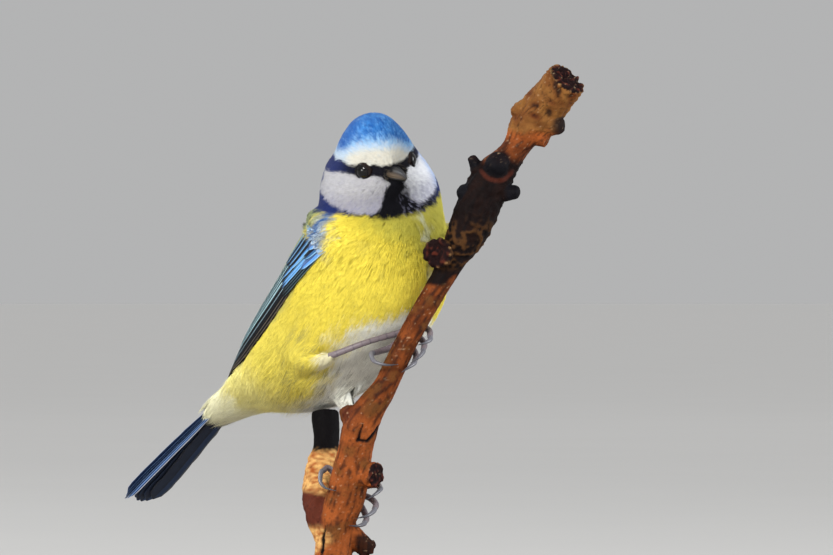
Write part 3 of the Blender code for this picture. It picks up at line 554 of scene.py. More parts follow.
def body_colours(points, ripple, own):
    """Trunk: yellow breast and flanks, whitish belly, pale undertail, green mantle, blue rump."""
    along, right, dorsal = body_place(points)
    angle = ring_angle(points)
    strand = noise_at(points - CRANIAL * (0.82 * along)[:, None], 1.0, 177.0)
    under = ease(2.0, -4.0, dorsal - 0.12 * (along + 20.0))
    belly_edge = np.interp(along, *BELLY_EDGE)
    belly = ease(2.2, -2.2, np.abs(right - 0.5) - belly_edge + 3.0 * ripple) * under
    streaky = under * ease(4.0, -10.0, along) * ease(-46.0, -36.0, along)
    from_heel = np.linalg.norm(points - np.array(HEEL), axis=1)
    olive = ease(-36.0, 6.0, angle) * ease(2.0, 18.0, along) * (right < 0.0)
    olive = np.maximum(olive, 0.55 * ease(20.0, 27.0, along + 2.0 * ripple))
    back_angle = mix(22.0, 58.0, ease(-8.0, -30.0, along))
    back = ease(-9.0, 9.0, angle - back_angle + 7.0 * ripple)
    green = shade(MANTLE_GREEN, RUMP_GREEN, ease(-14.0, -32.0, along))
    dark = ease(0.15, 0.5, own + 0.6 * ripple) * back * ease(8.0, 13.0, along)
    shoulder = ease(11.0, 14.0, along) * ease(24.5, 20.0, along + 1.5 * ripple)
    shoulder = shoulder * ease(-4.0, 12.0, angle + 6.0 * ripple) * ease(26.0, 14.0, angle)
    return paint(
        np.tile(BREAST_YELLOW, (len(points), 1)) * (1.0 + 0.07 * strand)[:, None],
        # Painted shade: the yellow just below the collar is darker, as in the shadow of the head.
        (THROAT_YELLOW_SHADED, 0.8 * ease(17.0, 27.0, along + 2.0 * ripple)),
        (FLANK_YELLOW, ease(2.0, -16.0, along + 4.0 * ripple)),
        (PALE_YELLOW, 0.85 * ease(-20.0, -32.0, along + 3.0 * ripple)),
        (VENT_WHITE, 0.7 * ease(-34.0, -42.0, along + 3.0 * ripple)),
        (BELLY_WHITE, belly * ease(-40.0, -26.0, along)),
        (BELLY_GREY, 0.6 * streaky * ease(0.0, 0.5, strand + 0.25 * own)),
        (HEEL_WHITE, 0.9 * ease(5.4, 2.6, from_heel + 1.5 * ripple)),
        (SHOULDER_OLIVE, 0.75 * olive),
        (shade(green, TAIL_COVERT_BLUE, ease(-35.0, -42.0, along)), back),
        (MANTLE_DARK, 0.7 * dark),
        (shade(SHOULDER_BLUE, SHOULDER_PALE, 0.25 + 0.8 * ripple + 1.0 * own), shoulder))


def head_colours(points, ripple, own):
    """Head: blue cap, white brow band, navy stripe, white cheeks, black bib and navy collar."""
    forward, right, up, angle = head_place(points)
    height = up + 0.45 * ripple
    cap_edge, stripe_top, stripe_low, cheek_low = (
        smooth_curve(BAND_ANGLES, edge, angle) for edge in (CAP_EDGE, STRIPE_TOP, STRIPE_LOW, CHEEK_LOW))
    side_angle = np.abs(angle)
    cheek = paint(
        # Painted light: the near cheek's white is greyer, as if in shade, and the far cheek brighter, as if
        # lit.
        shade(CHEEK_WHITE_SHADED, CHEEK_LIT, ease(6.0, -20.0, angle)),
        (CHEEK_LILAC, ease(-3.0, -8.5, up) * 0.5 + 0.45 * own),
        # Painted shade: the far cheek turns blue-lilac towards its edge, where it turns away from the light.
        (CHEEK_FAR_PAINTED_SHADE, 0.8 * ease(-52.0, -84.0, angle + 8.0 * own)))
    navy = shade(BIB_BLACK, NAPE_NAVY, ease(35.0, 85.0, side_angle))
    below = ease(0.35, -0.35, height - cheek_low)
    behind = ease(-4.0, 4.0, side_angle - CHEEK_BACK_ANGLE + 9.0 * ripple)
    bib_edge = BIB_ANGLE + 1.6 * np.maximum(-up - 5.5, 0.0)**1.45 - 3.0 * ease(0.0, 6.0, angle)
    bib = ease(4.0, -4.0, side_angle - bib_edge + 6.0 * ripple + 4.0 * own) * ease(-1.0, -2.0, up)
    stripe = shade(STRIPE_NAVY, NAPE_NAVY, 0.8 * ease(48.0, 100.0, side_angle))
    nape_spot = ease(150.0, 165.0, side_angle) * ease(-2.6, -1.6, up) * ease(0.6, -0.4, up)
    frost = ease(-6.0, -8.5, up) * ease(6.0, -8.0, angle) * ease(-60.0, -40.0, angle)
    brow = shade(BROW_WHITE, BROW_BLUE, ease(-2.4, -0.4, up - cap_edge) + 0.3 * own)
    lores = np.hypot((right + 0.2) / 1.25, up + BILL_BASE_DROP) + 0.35 * ripple
    lores = ease(2.9, 2.2, lores) * (forward > 1.0) * ease(1.0, 0.2, up + BILL_BASE_DROP - 1.7)
    edge_light = ease(3.0, 0.0, up - cap_edge) * mix(0.65, 0.2, ease(50.0, 85.0, side_angle))
    cap = paint(
        shade(CAP_BLUE, CAP_DEEP, 0.40 + 0.5 * ripple - 1.2 * own),
        # Painted shade: the cap is deeper blue on the bird's right side, towards the nape.
        (CAP_DEEP, 0.7 * ease(24.0, 70.0, angle)),
        (CAP_LIGHT, edge_light + 0.7 * own - 0.15))
    return paint(
        cheek,
        (navy, below + behind + bib),
        (stripe, ease(-0.3, 0.3, height - stripe_low)),
        (CAP_LIGHT, 0.8 * nape_spot),
        (CHEEK_LILAC, 0.8 * frost * ease(0.25, 0.5, own)),
        (shade(brow, BROW_BLUE, 0.7 * ease(55.0, 80.0, side_angle)), ease(-0.3, 0.3, height - stripe_top)),
        (BIB_BLACK, lores),
        (cap, ease(-0.9, 0.9, height - cap_edge + 0.8 * own)))


def plumage(points, ripple, own):
    """Colour of the plumage at points; ripple frays the edges, own varies single tufts."""
    points = np.asarray(points)
    _, _, up, angle = head_place(points)
    collar_low = smooth_curve(BAND_ANGLES, COLLAR_LOW, angle)
    above = ease(-0.45, 0.45, up + 0.5 * ripple + 0.5 * own - collar_low)
    return mix(body_colours(points, ripple, own), head_colours(points, ripple, own), above[:, None])


# Skin: one closed surface under the coat, from the rump to the crown, with both feathered thighs

SKIN_RINGS = 190
SKIN_SIDES = 132
# Painted shade: the skin under the coat is darker than the plumage, as if in the shade of the tufts over it
SKIN_PAINTED_SHADE = 0.8
BODY_COAT_DEPTH = 0.95
FACE_COAT_DEPTH = 0.45
THIGHS = {
    "right": ((-12.5, -5.5, 63.5), (-7.8, -13.2, 62.9), (-3.8, -17.4, 64.9)),
    "left": ((-3.0, 1.0, 57.0), (-0.5, -2.6, 53.0), (1.0, -5.4, 49.6)),
}
THIGH_RADII = (3.4, 2.5, 1.35)
THIGH_COAT_DEPTH = 0.45
THIGH_RINGS = 16
THIGH_SIDES = 20
THIGH_BLEND = 5.0
# Boxes on the skin's bake map, which has the trunk and head below the thighs
BODY_MAP = (0.0, 0.02, 1.0, 0.90)
THIGH_MAP_LEVEL = 0.91
THIGH_MAPS = {"right": (0.02, 0.93, 0.32, 0.99), "left": (0.52, 0.93, 0.82, 0.99)}


def coat_depth(places):
    return mix(BODY_COAT_DEPTH, FACE_COAT_DEPTH, ease(5.2, 7.2, places))


def make_skin():
    """Body without its coat, with both thighs joined on and their joins smoothed."""
    places = np.linspace(0.0, CROWN, SKIN_RINGS)
    grid = body_points(places[:, None], circle(SKIN_SIDES)[None, :], -coat_depth(places)[:, None])
    rump = np.mean(grid[0], axis=0)
    crown = in_head(-5.5, 0.0, CROWN_TOP - FACE_COAT_DEPTH)
    points = np.concatenate([grid.reshape(-1, 3), rump[None], crown[None]])
    faces, uvs = tube_net(SKIN_RINGS, SKIN_SIDES, BODY_MAP)
    skin = face_out(make_mesh("skin", points, faces, None, uvs))
    group = bpy.data.collections.new("thighs")
    bpy.context.scene.collection.children.link(group)
    for side, route in THIGHS.items():
        steps = np.linspace(0.0, 1.0, THIGH_RINGS)
        radii = smooth_curve((0.0, 0.5, 1.0), THIGH_RADII, steps) - THIGH_COAT_DEPTH
        points = tube_points(along_points(np.array(route), steps), radii, THIGH_SIDES)
        faces, uvs = tube_net(THIGH_RINGS, THIGH_SIDES, THIGH_MAPS[side])
        thigh = face_out(make_mesh("thigh_" + side, points, faces, None, uvs))
        bpy.context.scene.collection.objects.unlink(thigh)
        group.objects.link(thigh)
    modify(skin, "BOOLEAN", operand_type="COLLECTION", collection=group, operation="UNION", solver="MANIFOLD")
    bake_modifiers(skin)
    for thigh in list(group.objects):
        bpy.data.objects.remove(thigh)
    bpy.data.collections.remove(group)
    near_thigh = skin.vertex_groups.new(name="blend")
    points = mesh_points(skin)
    for route in THIGHS.values():
        away, share = nearest_on(points, route)
        weights = ease(THIGH_BLEND + 2.5, THIGH_BLEND, away) * ease(0.98, 0.75, share)
        for index in np.flatnonzero(weights > 0.01):
            near_thigh.add([int(index)], float(weights[index]), "REPLACE")
    modify(skin, "SMOOTH", vertex_group="blend", factor=0.5, iterations=40)
    bake_modifiers(skin)
    skin.vertex_groups.clear()
    points = mesh_points(skin)
    # The skin is painted darker than the plumage over it, as shade in the gaps between the tufts.
    add_tint(skin.data, plumage(points, noise_at(points, 2.2), np.zeros(len(points))) * SKIN_PAINTED_SHADE)
    skin.data.shade_smooth()
    return skin


# Coat: tufts of a few tapered barbs each, rooted in the skin and lying along the body

BARBS = 8
# A barb has a root, three points round its middle and a tip: its triangles, its painted shade and light
# (darker at the root, as in the shade deep in the coat, a little brighter at the tip), places in a
# tuft's patch of the bake map, and how far the tuft's barbs fan out at root, middle and tip
BARB_POINTS = 5
BARB_FACES = np.array([(0, 2, 1), (0, 3, 2), (0, 1, 3), (1, 2, 4), (2, 3, 4), (3, 1, 4)])
BARB_PAINTED_SHADE_AND_LIGHT = np.array([0.76, 0.94, 0.94, 0.99, 1.05])
BARB_PATCH = np.array([(0.0, -1.0), (-0.8, 0.2), (0.8, 0.2), (0.0, 0.2), (0.0, 1.0)])
BARB_PATCH_SIZE = 0.0015
BARB_FAN = (0.35, 0.95, 1.15)
# Length of the trunk's tufts by their place along the body
TRUNK_TUFTS = ((-46.0, -38.0, -24.0, -8.0, 8.0, 20.0, 30.0), (6.6, 8.2, 8.6, 7.2, 5.6, 4.4, 3.8))
EYE_CLEARANCE = 1.9
LEG_CLEARANCE = 0.25
LEG_PATH_POINTS = 12
COVERT_TAPER = 0.05
ROOT_DEPTH = 0.12
BILL_POCKET = (2.1, 2.0)
TUFTS_PER_MM2_FACE = 10.0
TUFTS_PER_MM2_CROWN = 5.0
TUFTS_PER_MM2_BODY = 2.5


def bill_base():
    return in_head(BILL_BASE_FORWARD, 0.0, -BILL_BASE_DROP)


def head_share(points):
    """1 on the head, 0 on the trunk."""
    _, _, up, _ = head_place(points)
    return ease(-15.0, -9.5, up)


def underneath(along, dorsal):
    """1 on the underside of the trunk, 0 above it, by place on the body."""
    return ease(6.0, -2.0, dorsal - 0.25 * (along + 20.0))


def tuft_sizes(points):
    """Length, half width of the tuft, half width of a barb, and rise of the tips, by place."""
    from_bill = np.linalg.norm(points - bill_base(), axis=1)
    on_head = head_share(points)
    along, _, dorsal = body_place(points)
    body_length = np.interp(along, *TRUNK_TUFTS)
    head_length = 0.60 + 0.17 * np.clip(from_bill, 0.0, 17.0)
    length = mix(body_length, head_length, on_head)
    spread = mix(0.62, 0.14 + 0.012 * np.clip(from_bill, 0.0, 26.0), on_head)
    barb = mix(0.072, 0.032 + 0.0016 * np.clip(from_bill, 0.0, 26.0), on_head)
    fluffy = ease(-6.0, -20.0, along) * underneath(along, dorsal)
    rise = mix(0.18 + 0.46 * fluffy, 0.08, on_head)
    return length, spread, barb, rise


def flow(points):
    """Lie of the plumage: away from the bill on the head, towards the tail on the trunk."""
    away = unit(points - bill_base())
    _, _, up, _ = head_place(points)
    down = ease(-1.0, -7.0, up)[:, None]
    head_flow = 0.75 * away - 0.55 * FACE - 0.55 * HEAD_UP * down
    tail_ward = unit(BODY_CENTRE + CRANIAL * -46.0 + DORSAL * 12.0 - points)
    body_flow = unit(-CRANIAL * 0.8 + tail_ward * 0.45 - UP * 0.25)
    along, _, _ = body_place(points)
    body_flow = mix(body_flow, TAIL_BACK, ease(-22.0, -36.0, along)[:, None])
    return unit(mix(body_flow, head_flow, head_share(points)[:, None]))


# Outline of the folded wing: places along it, the body's rings they lie on, and the degrees above
# the bird's side of its lower and upper edge
WING_PLACES = (0.0, 0.15, 0.33, 0.50, 0.67, 0.83, 1.0)
WING_STATIONS = (4.93, 4.45, 3.72, 3.00, 2.35, 1.62, 0.84)
WING_LOWER = (-20.0, -2.0, 12.0, 18.0, 20.0, 27.0, 66.0)
WING_UPPER = (56.0, 62.0, 66.0, 70.0, 74.0, 79.0, 86.0)


def wing_front(v):
    """How far down the wing its rounded front edge begins, by the place across the wing."""
    return 0.24 * np.clip((np.asarray(v) - 0.40) / 0.60, 0.0, 1.0)**2


def side_degrees(turns):
    """Degrees above either side of the bird, from turns round a ring."""
    degrees = np.degrees(turns) % 360.0
    degrees = np.where(degrees > 270.0, degrees - 360.0, degrees)
    return np.where(degrees > 90.0, 180.0 - degrees, degrees)


def wing_margins(places, degrees):
    """How many degrees a place lies inside the lower and the upper edge of the folded wing."""
    down_wing = np.interp(places, WING_STATIONS[::-1], WING_PLACES[::-1])
    lower = smooth_curve(WING_PLACES, WING_LOWER, down_wing)
    upper = smooth_curve(WING_PLACES, WING_UPPER, down_wing)
    past_front = (down_wing - wing_front((degrees - lower) / (upper - lower))) * 150.0
    on_length = (places < WING_STATIONS[0]) & (places > WING_STATIONS[-1])
    in_high = np.minimum(upper - degrees, past_front)
    return np.where(on_length, degrees - lower, -40.0), np.where(on_length, in_high, -40.0)


def scatter(skin, rng):
    """Even random roots on the skin, denser where the tufts are small: points and bake places."""
    mesh = skin.data
    mesh.calc_loop_triangles()
    points = mesh_points(skin)[read(mesh.loop_triangles, "vertices", 3, np.int32)]
    uv = read(mesh.uv_layers["OFBake"].data, "uv", 2)[read(mesh.loop_triangles, "loops", 3, np.int32)]
    middles = points.mean(axis=1)
    areas = 0.5 * np.linalg.norm(np.cross(points[:, 1] - points[:, 0], points[:, 2] - points[:, 0]), axis=1)
    from_bill = np.linalg.norm(middles - bill_base(), axis=1)
    head = mix(TUFTS_PER_MM2_FACE, TUFTS_PER_MM2_CROWN, ease(6.0, 20.0, from_bill))
    wanted = areas * mix(TUFTS_PER_MM2_BODY, head, head_share(middles))
    total = np.cumsum(wanted)
    count = int(total[-1])
    marks = (np.arange(count) + rng.random(count)) / count * total[-1]
    chosen = np.clip(np.searchsorted(total, marks), 0, len(total) - 1)
    first = rng.random(count)
    second = rng.random(count)
    over = first + second > 1.0
    first = np.where(over, 1.0 - first, first)
    second = np.where(over, 1.0 - second, second)
    weights = np.stack([1.0 - first - second, first, second], 1)[..., None]
    return (points[chosen] * weights).sum(1), (uv[chosen] * weights).sum(1)


def keep_clear(roots, tips):
    """Roots that leave the eyes and the bill free."""
    good = np.ones(len(roots), bool)
    for side in (1.0, -1.0):
        for points in (roots, tips):
            off = points - eye_centre(side)
            height = off @ eye_axis(side)
            out = np.linalg.norm(off - height[:, None] * eye_axis(side), axis=1)
            good &= ~((out < EYE_CLEARANCE) & (height > 0.0))
    forward, right, up, _ = head_place(roots)
    oval = np.hypot(right / BILL_POCKET[0], (up + BILL_BASE_DROP) / BILL_POCKET[1])
    return good & ~((oval < 1.0) & (forward > 1.0))


def follow(skin, start, direction, length):
    """Steps over the skin: places and outward normals at the start, the middle and the end.

    Past the rump's end the steps go straight on over the tail, closing in on it.
    """
    shell = bmesh.new()
    shell.from_mesh(skin.data)
    bmesh.ops.scale(shell, vec=(1.0 / MM,) * 3, verts=shell.verts)
    tree = BVHTree.FromBMesh(shell)
    shell.free()
    end = Vector(STATION_TABLE[0, :3])
    back = Vector(TAIL_BACK)
    count = len(start)
    places = np.empty((3, count, 3))
    normals = np.empty((3, count, 3))
    for i in range(count):
        here = Vector(start[i])
        ahead = Vector(direction[i])
        found, normal, _, _ = tree.find_nearest(here)
        places[0, i] = found
        normals[0, i] = normal
        for step in (1, 2):
            ahead = (ahead - normal * ahead.dot(normal)).normalized()
            there = found + ahead * (length[i] * 0.5)
            beyond = (there - end).dot(back)
            if beyond > 0.0:
                off_axis = (there - end) - back * beyond
                found = there - off_axis * min(0.5, COVERT_TAPER * beyond)
            else:
                found, normal, _, _ = tree.find_nearest(there)
            places[step, i] = found
            normals[step, i] = normal
    return places, normals


def barbs_mesh(name, places, normals, lifts, spread, width, reach, colours, uv_roots, ragged, rng):
    """Mesh of closed, three-sided barbs, thickest halfway along, for every tuft."""
    count = places.shape[1]
    directions = unit(places[2] - places[0])
    across = np.stack([unit(np.cross(normals[k], directions)) for k in range(3)])
    lateral = np.linspace(-1.0, 1.0, BARBS)[None, :] + rng.uniform(-0.3, 0.3, (count, BARBS))
    short = 1.0 - 0.25 * lateral**2 - rng.uniform(0.0, 0.25, (count, BARBS)) * (1.0 + 0.6 * ragged)[:, None]
    height = rng.uniform(-0.5, 0.5, (count, BARBS)) * (1.0 + 2.5 * ragged)[:, None]
    offsets = spread[:, None] * lateral
    rings = []
    for k in range(3):
        along = places[0][:, None] + (places[k] - places[0])[:, None] * (short[..., None] if k else 1.0)
        lift = lifts[k][:, None] + height * width[:, None] * (0.8 if k else 0.2)
        sideways = across[k][:, None] * (offsets * BARB_FAN[k])[..., None]
        rings.append(along + sideways + normals[k][:, None] * lift[..., None])
    bend = rng.uniform(-1.0, 1.0, (count, BARBS, 1)) * reach[:, None, None] * 0.03
    rings[2] = rings[2] + across[2][:, None] * bend
    half = width[:, None, None]
    side = across[1][:, None] * half
    top = normals[1][:, None] * half * 0.7
    points = np.stack([rings[0], rings[1] - side, rings[1] + side, rings[1] + top, rings[2]], axis=2)
    first = np.arange(count * BARBS)[:, None, None] * BARB_POINTS
    faces = (first + BARB_FACES[None]).reshape(-1, 3)
    own = 1.0 + rng.uniform(-0.13, 0.09, (count, BARBS, 1, 1)) * (1.0 + 2.0 * ragged)[:, None, None, None]
    # Each barb is painted darker at its root, as shade deep in the coat, and a little brighter at its tip, as
    # if lit.
    tint = colours[:, None, None, :] * BARB_PAINTED_SHADE_AND_LIGHT[None, None, :, None] * own
    spots = np.broadcast_to(BARB_PATCH[None, None] * BARB_PATCH_SIZE, (count, BARBS, BARB_POINTS, 2)).copy()
    spots[..., 0] = spots[..., 0] * 0.25 + lateral[..., None] * 0.0011
    spots = (spots + uv_roots[:, None, None, :]).reshape(-1, 2)
    piece = make_mesh(name, points.reshape(-1, 3), faces, tint.reshape(-1, 3), spots[faces.ravel()])
    lean = np.stack([normals[0], normals[1] - across[1] * 0.8, normals[1] + across[1] * 0.8,
                     normals[1], normals[2] + directions * 0.25], axis=1)
    lean = unit(np.broadcast_to(lean[:, None], (count, BARBS, BARB_POINTS, 3)).reshape(-1, 3))
    piece.data.normals_split_custom_set_from_vertices(lean.astype(np.float32))
    return piece


# Pieces of the coat; zones() numbers them in this order
COAT_ZONES = ("crown", "face", "nape", "breast", "flank_right", "flank_left", "belly", "back", "rump")
WISP_SCALE = 5.0


def zones(points):
    """Index of the coat piece that a root belongs to."""
    crown, face, nape, breast, flank_right, flank_left, belly, back, rump = range(len(COAT_ZONES))
    forward, _, up, _ = head_place(points)
    along, across, dorsal = body_place(points)
    lateral = np.degrees(np.arctan2(dorsal + 0.2 * along, np.abs(across)))
    trunk = np.where(along > 2.0, breast, np.where(across > 3.0, flank_right, flank_left))
    trunk = np.where(lateral > 25.0, back, trunk)
    trunk = np.where((along <= 2.0) & (lateral < -45.0), belly, trunk)
    trunk = np.where(along < -26.0, rump, trunk)
    head = np.where(up > 2.6, crown, np.where(forward > -6.6, face, nape))
    return np.where(up > -12.5, head, trunk)


def leg_clearance(points):
    """Distance from the bare parts of the legs, less their radius."""
    steps = np.linspace(0.0, 1.0, LEG_PATH_POINTS)
    away = [nearest_on(points, along_points(np.array(route), steps))[0] for route in LEG_CORES]
    return np.minimum.reduce(away) - LEG_CORE_RADIUS


def wing_lift(places, in_low, in_high, in_bend):
    """How far the tufts beside, above and at the bend of the folded wing stand up over its edge."""
    beside = np.clip(1.0 - np.abs(in_low) / 12.0, 0.0, 1.0) * 0.9 * ease(2.6, 4.4, places)
    above = ease(-14.0, -2.0, in_high) * ease(30.0, 10.0, in_high) * 2.0 * ease(2.2, 3.6, places)
    lift = np.where(places < 5.2, np.maximum(beside, above), 0.0)
    at_bend = (places >= WING_STATIONS[0] - 0.05) & (places < 5.7) & (in_bend > 0.0)
    return np.where(at_bend, ease(5.8, 5.1, places) * ease(0.0, 10.0, in_bend), lift)


def make_coat(skin):
    """All the small feathers, one joined mesh for each zone of the body."""
    rng = np.random.default_rng(SEED)
    roots, uv = scatter(skin, rng)
    turns = uv[:, 0] * 2.0 * math.pi
    places = (uv[:, 1] - BODY_MAP[1]) / (BODY_MAP[3] - BODY_MAP[1]) * CROWN
    on_thigh = uv[:, 1] > THIGH_MAP_LEVEL
    degrees = side_degrees(turns)
    in_low, in_high = wing_margins(places, degrees)
    in_bend = np.minimum(degrees - WING_LOWER[0] + 6.0, WING_UPPER[0] + 6.0 - degrees)
    under_wing = (in_low > 5.0) & (in_high > 11.0)
    on_end = ((roots - STATION_TABLE[0, :3]) @ TAIL_BACK > -0.25) & (places < 0.6)
    keep = on_thigh | ~(under_wing | on_end)
    roots, uv, places = roots[keep], uv[keep], places[keep]
    in_low, in_high, on_thigh, in_bend = in_low[keep], in_high[keep], on_thigh[keep], in_bend[keep]
    length, spread, width, rise = tuft_sizes(roots)
    length = length * rng.uniform(0.82, 1.18, len(roots)) * np.where(on_thigh, 0.85, 1.0)
    lie = flow(roots)
    wisp = np.stack([noise_at(roots, WISP_SCALE, shift) for shift in (0.0, 40.0, 80.0)], 1)
    on_head = head_share(roots)
    along, _, dorsal = body_place(roots)
    ragged = ease(-4.0, -16.0, along) * underneath(along, dorsal) * (1.0 - on_head)
    _, _, up, angle = head_place(roots)
    nape = 1.1 * np.exp(-((np.abs(angle) - 112.0) / 30.0)**2) * ease(-13.0, -10.0, up) * ease(4.0, 0.0, up)
    loose = mix(0.12 + 0.25 * ease(0.0, -14.0, along), 0.06, on_head)
    lie = unit(lie + wisp * loose[:, None] + rng.normal(0.0, 0.06, roots.shape))
    steps, normals = follow(skin, roots, lie, length)
    keep = keep_clear(roots, steps[2])
    over_wing = np.where(on_thigh, 0.0, wing_lift(places, in_low, in_high, in_bend))
    loose_down = ragged * (rng.random(len(roots)) < 0.08) * ~on_thigh
    rise = rise + 0.9 * loose_down
    width = width * (1.0 - 0.35 * loose_down)
    depth = np.where(on_thigh, 0.55, coat_depth(places))
    rise = np.where(on_thigh, 0.4, rise)
    fluff = wisp[:, 0] * mix(0.22, 0.05, on_head)
    tip = depth + rise * rng.uniform(0.2, 1.6, len(roots)) + fluff + over_wing + nape
    middle = depth * 0.72 + over_wing * 0.85 + fluff * 0.5 + nape * 0.9
    near_leg = leg_clearance(steps[2] + normals[2] * tip[:, None]) < LEG_CLEARANCE
    near_leg |= leg_clearance(steps[1] + normals[1] * middle[:, None]) < LEG_CLEARANCE
    tip = np.where(near_leg, 0.05, tip)
    middle = np.where(near_leg, 0.02, middle)
    lifts = np.stack([np.full(len(roots), -ROOT_DEPTH), middle, tip])
    ripple = noise_at(steps[1], 1.6, 7.0)
    own = rng.normal(0.0, 0.35, len(roots))
    colours = plumage(mix(steps[0], steps[2], 0.55), ripple, own)
    colours = fleck(colours, roots, rng)
    zone = zones(roots)
    pieces = []
    for index, label in enumerate(COAT_ZONES):
        chosen = np.flatnonzero((zone == index) & keep)
        if len(chosen) == 0:
            continue
        piece = barbs_mesh("coat_" + label, steps[:, chosen], normals[:, chosen], lifts[:, chosen],
                           spread[chosen], width[chosen], length[chosen], colours[chosen], uv[chosen],
                           ragged[chosen], rng)
        pieces.append(piece)
    return pieces


def fleck(colours, roots, rng):
    """Grey down showing between a few of the trunk's feathers."""
    on_trunk = 1.0 - head_share(roots)
    patch = ease(0.42, 0.62, noise_at(roots, 3.4, 150.0))
    share = on_trunk * np.maximum(patch * 0.14, np.where(rng.random(len(roots)) < 0.008, 0.25, 0.0))
    bright = 1.0 + 0.07 * noise_at(roots, 6.0, 300.0) * on_trunk
    return shade(colours, DOWN_GREY, share) * bright[:, None]


# Stiff feathers: a curved blade with a shaft, closed all round

BLADE_THICKNESS = 0.05
SHAFT_RISE = 0.05
BLADE_COLUMNS = np.array([-1.0, -0.9, -0.8, -0.7, -0.6, -0.35, -0.1, 0.0, 0.1, 0.35, 0.65, 0.85, 1.0])
# Half of the tail: how far out its middle and its outermost feather lie, and the outermost one's
# level and slope in degrees
TAIL_SLOPES_RIGHT = (1.4, 3.9, -1.3, 48.0)
TAIL_SLOPES_LEFT = (0.9, 4.7, -0.8, 12.0)


def blade(parts, middles, over, normals, outer, inner, camber, colour, spot, rng):
    """Adds one feather. outer and inner are the widths of its two webs at every row."""
    rows = len(middles)
    across = BLADE_COLUMNS
    widths = np.where(across < 0.0, outer[:, None] * -across, inner[:, None] * across)
    widths = widths * (1.0 + 0.03 * rng.standard_normal((rows, 1)) * (np.abs(across) > 0.9))
    offset = np.sign(across) * widths
    arch = -camber * across**2
    shaft = SHAFT_RISE * np.exp(-(across / 0.12)**2) * np.linspace(1.0, 0.3, rows)[:, None]
    surface = middles[:, None] + over[:, None] * offset[..., None]
    lift = (arch[None] * (outer + inner)[:, None] * 0.5)[..., None]
    top = surface + normals[:, None] * (lift + shaft[..., None] + BLADE_THICKNESS * 0.5)
    low = surface + normals[:, None] * (lift - shaft[..., None] * 0.5 - BLADE_THICKNESS * 0.5)
    places = np.linspace(0.0, 1.0, rows)
    top_tint = colour(places[:, None] + 0 * offset, across[None] + 0 * offset, True)
    low_tint = colour(places[:, None] + 0 * offset, across[None] + 0 * offset, False)
    faces = plate_net(rows, len(across))
    points = np.concatenate([top.reshape(-1, 3), low.reshape(-1, 3)])
    tints = np.concatenate([top_tint.reshape(-1, 3), low_tint.reshape(-1, 3)])
    grid = np.stack([across[None] * 0.5 + 0.5 + 0 * offset, places[:, None] + 0 * offset], -1)
    uv = np.concatenate([grid.reshape(-1, 2), grid.reshape(-1, 2) * np.array([1.0, -1.0])])
    uv = np.asarray(spot[:2]) + uv * np.asarray(spot[2:])
    parts.add(points, faces, tints, uv[faces.ravel()])


VANE_UNDERSIDE = srgb(84, 88, 98)


def blade_widths(rows, width, tip_round, root_share, outer_share):
    """Widths of the outer and inner web along a feather with a rounded tip."""
    places = np.linspace(0.0, 1.0, rows)
    size = root_share + (1.0 - root_share) * np.minimum(1.0, places / 0.35)
    inner = np.clip((places - 1.0 + tip_round) / tip_round, 0.0, 1.0)
    size = width * size * np.maximum(0.10, np.sqrt(1.0 - inner**2 * 0.99))
    return size * 2.0 * outer_share, size * 2.0 * (1.0 - outer_share)


def webs(edge, outer, inner, shaft, tip=None, tip_start=0.84, low=VANE_UNDERSIDE, edge_from=0.8):
    """Colour function of a feather: outer edge, outer and inner web, shaft, tip and underside."""

    def colour(along, across, is_top):
        tint = np.where((across < 0.0)[..., None], outer, inner) * np.ones(along.shape + (1,))
        streaks = 1.0 + 0.10 * np.sin(along * 97.0 + across * 21.0)
        tint = tint * streaks[..., None]
        tint = mix(tint, edge, ease(edge_from - 0.10, edge_from, -across)[..., None])
        tint = mix(tint, edge, (0.5 * ease(0.93, 1.0, across))[..., None])
        tint = mix(tint, shaft, np.exp(-(across / 0.07)**2)[..., None])
        if tip is not None:
            bowed = along + 0.03 * np.cos(across * 2.0)
            tint = mix(tint, tip, ease(tip_start, tip_start + 0.06, bowed)[..., None])
        return tint if is_top else mix(low, tint, 0.25)
    return colour


BLACK_WEB = srgb(16, 17, 22)
SHAFT_BLACK = srgb(18, 18, 22)
TAIL_SHAFT = srgb(20, 24, 38)
COVERT_WEB = srgb(14, 18, 28)
COVERT_SHAFT = srgb(12, 14, 22)
OUTER_PRIMARY = webs(srgb(116, 104, 92), srgb(9, 10, 13), srgb(9, 10, 13), SHAFT_BLACK, edge_from=0.9)
PRIMARY = webs(srgb(160, 190, 204), srgb(12, 14, 18), BLACK_WEB, SHAFT_BLACK, edge_from=0.9)
SECONDARY = webs(srgb(196, 238, 248), srgb(12, 18, 28), BLACK_WEB, SHAFT_BLACK, edge_from=0.74)
TERTIAL = webs(srgb(214, 238, 236), srgb(110, 156, 172), srgb(26, 34, 44), SHAFT_BLACK,
               srgb(226, 230, 222), 0.95)
DARK_EDGE = webs(srgb(14, 16, 22), srgb(10, 12, 16), BLACK_WEB, SHAFT_BLACK, edge_from=0.9)
DARK_COVERT = webs(srgb(84, 112, 120), srgb(18, 22, 30), BLACK_WEB, SHAFT_BLACK, edge_from=0.9)
PRIMARY_COVERT = webs(srgb(128, 180, 224), srgb(84, 140, 200), srgb(18, 24, 38), SHAFT_BLACK,
                      srgb(52, 84, 128), 0.93)
ALULA = webs(srgb(150, 196, 240), srgb(92, 142, 206), srgb(74, 100, 146), srgb(30, 32, 50),
             BLACK_WEB, 0.96, edge_from=0.9)
GREATER = webs(srgb(120, 164, 196), srgb(16, 24, 40), COVERT_WEB, COVERT_SHAFT, srgb(238, 242, 242), 0.88)
LOW_GREATER = webs(srgb(124, 172, 208), srgb(52, 92, 138), COVERT_WEB, COVERT_SHAFT)


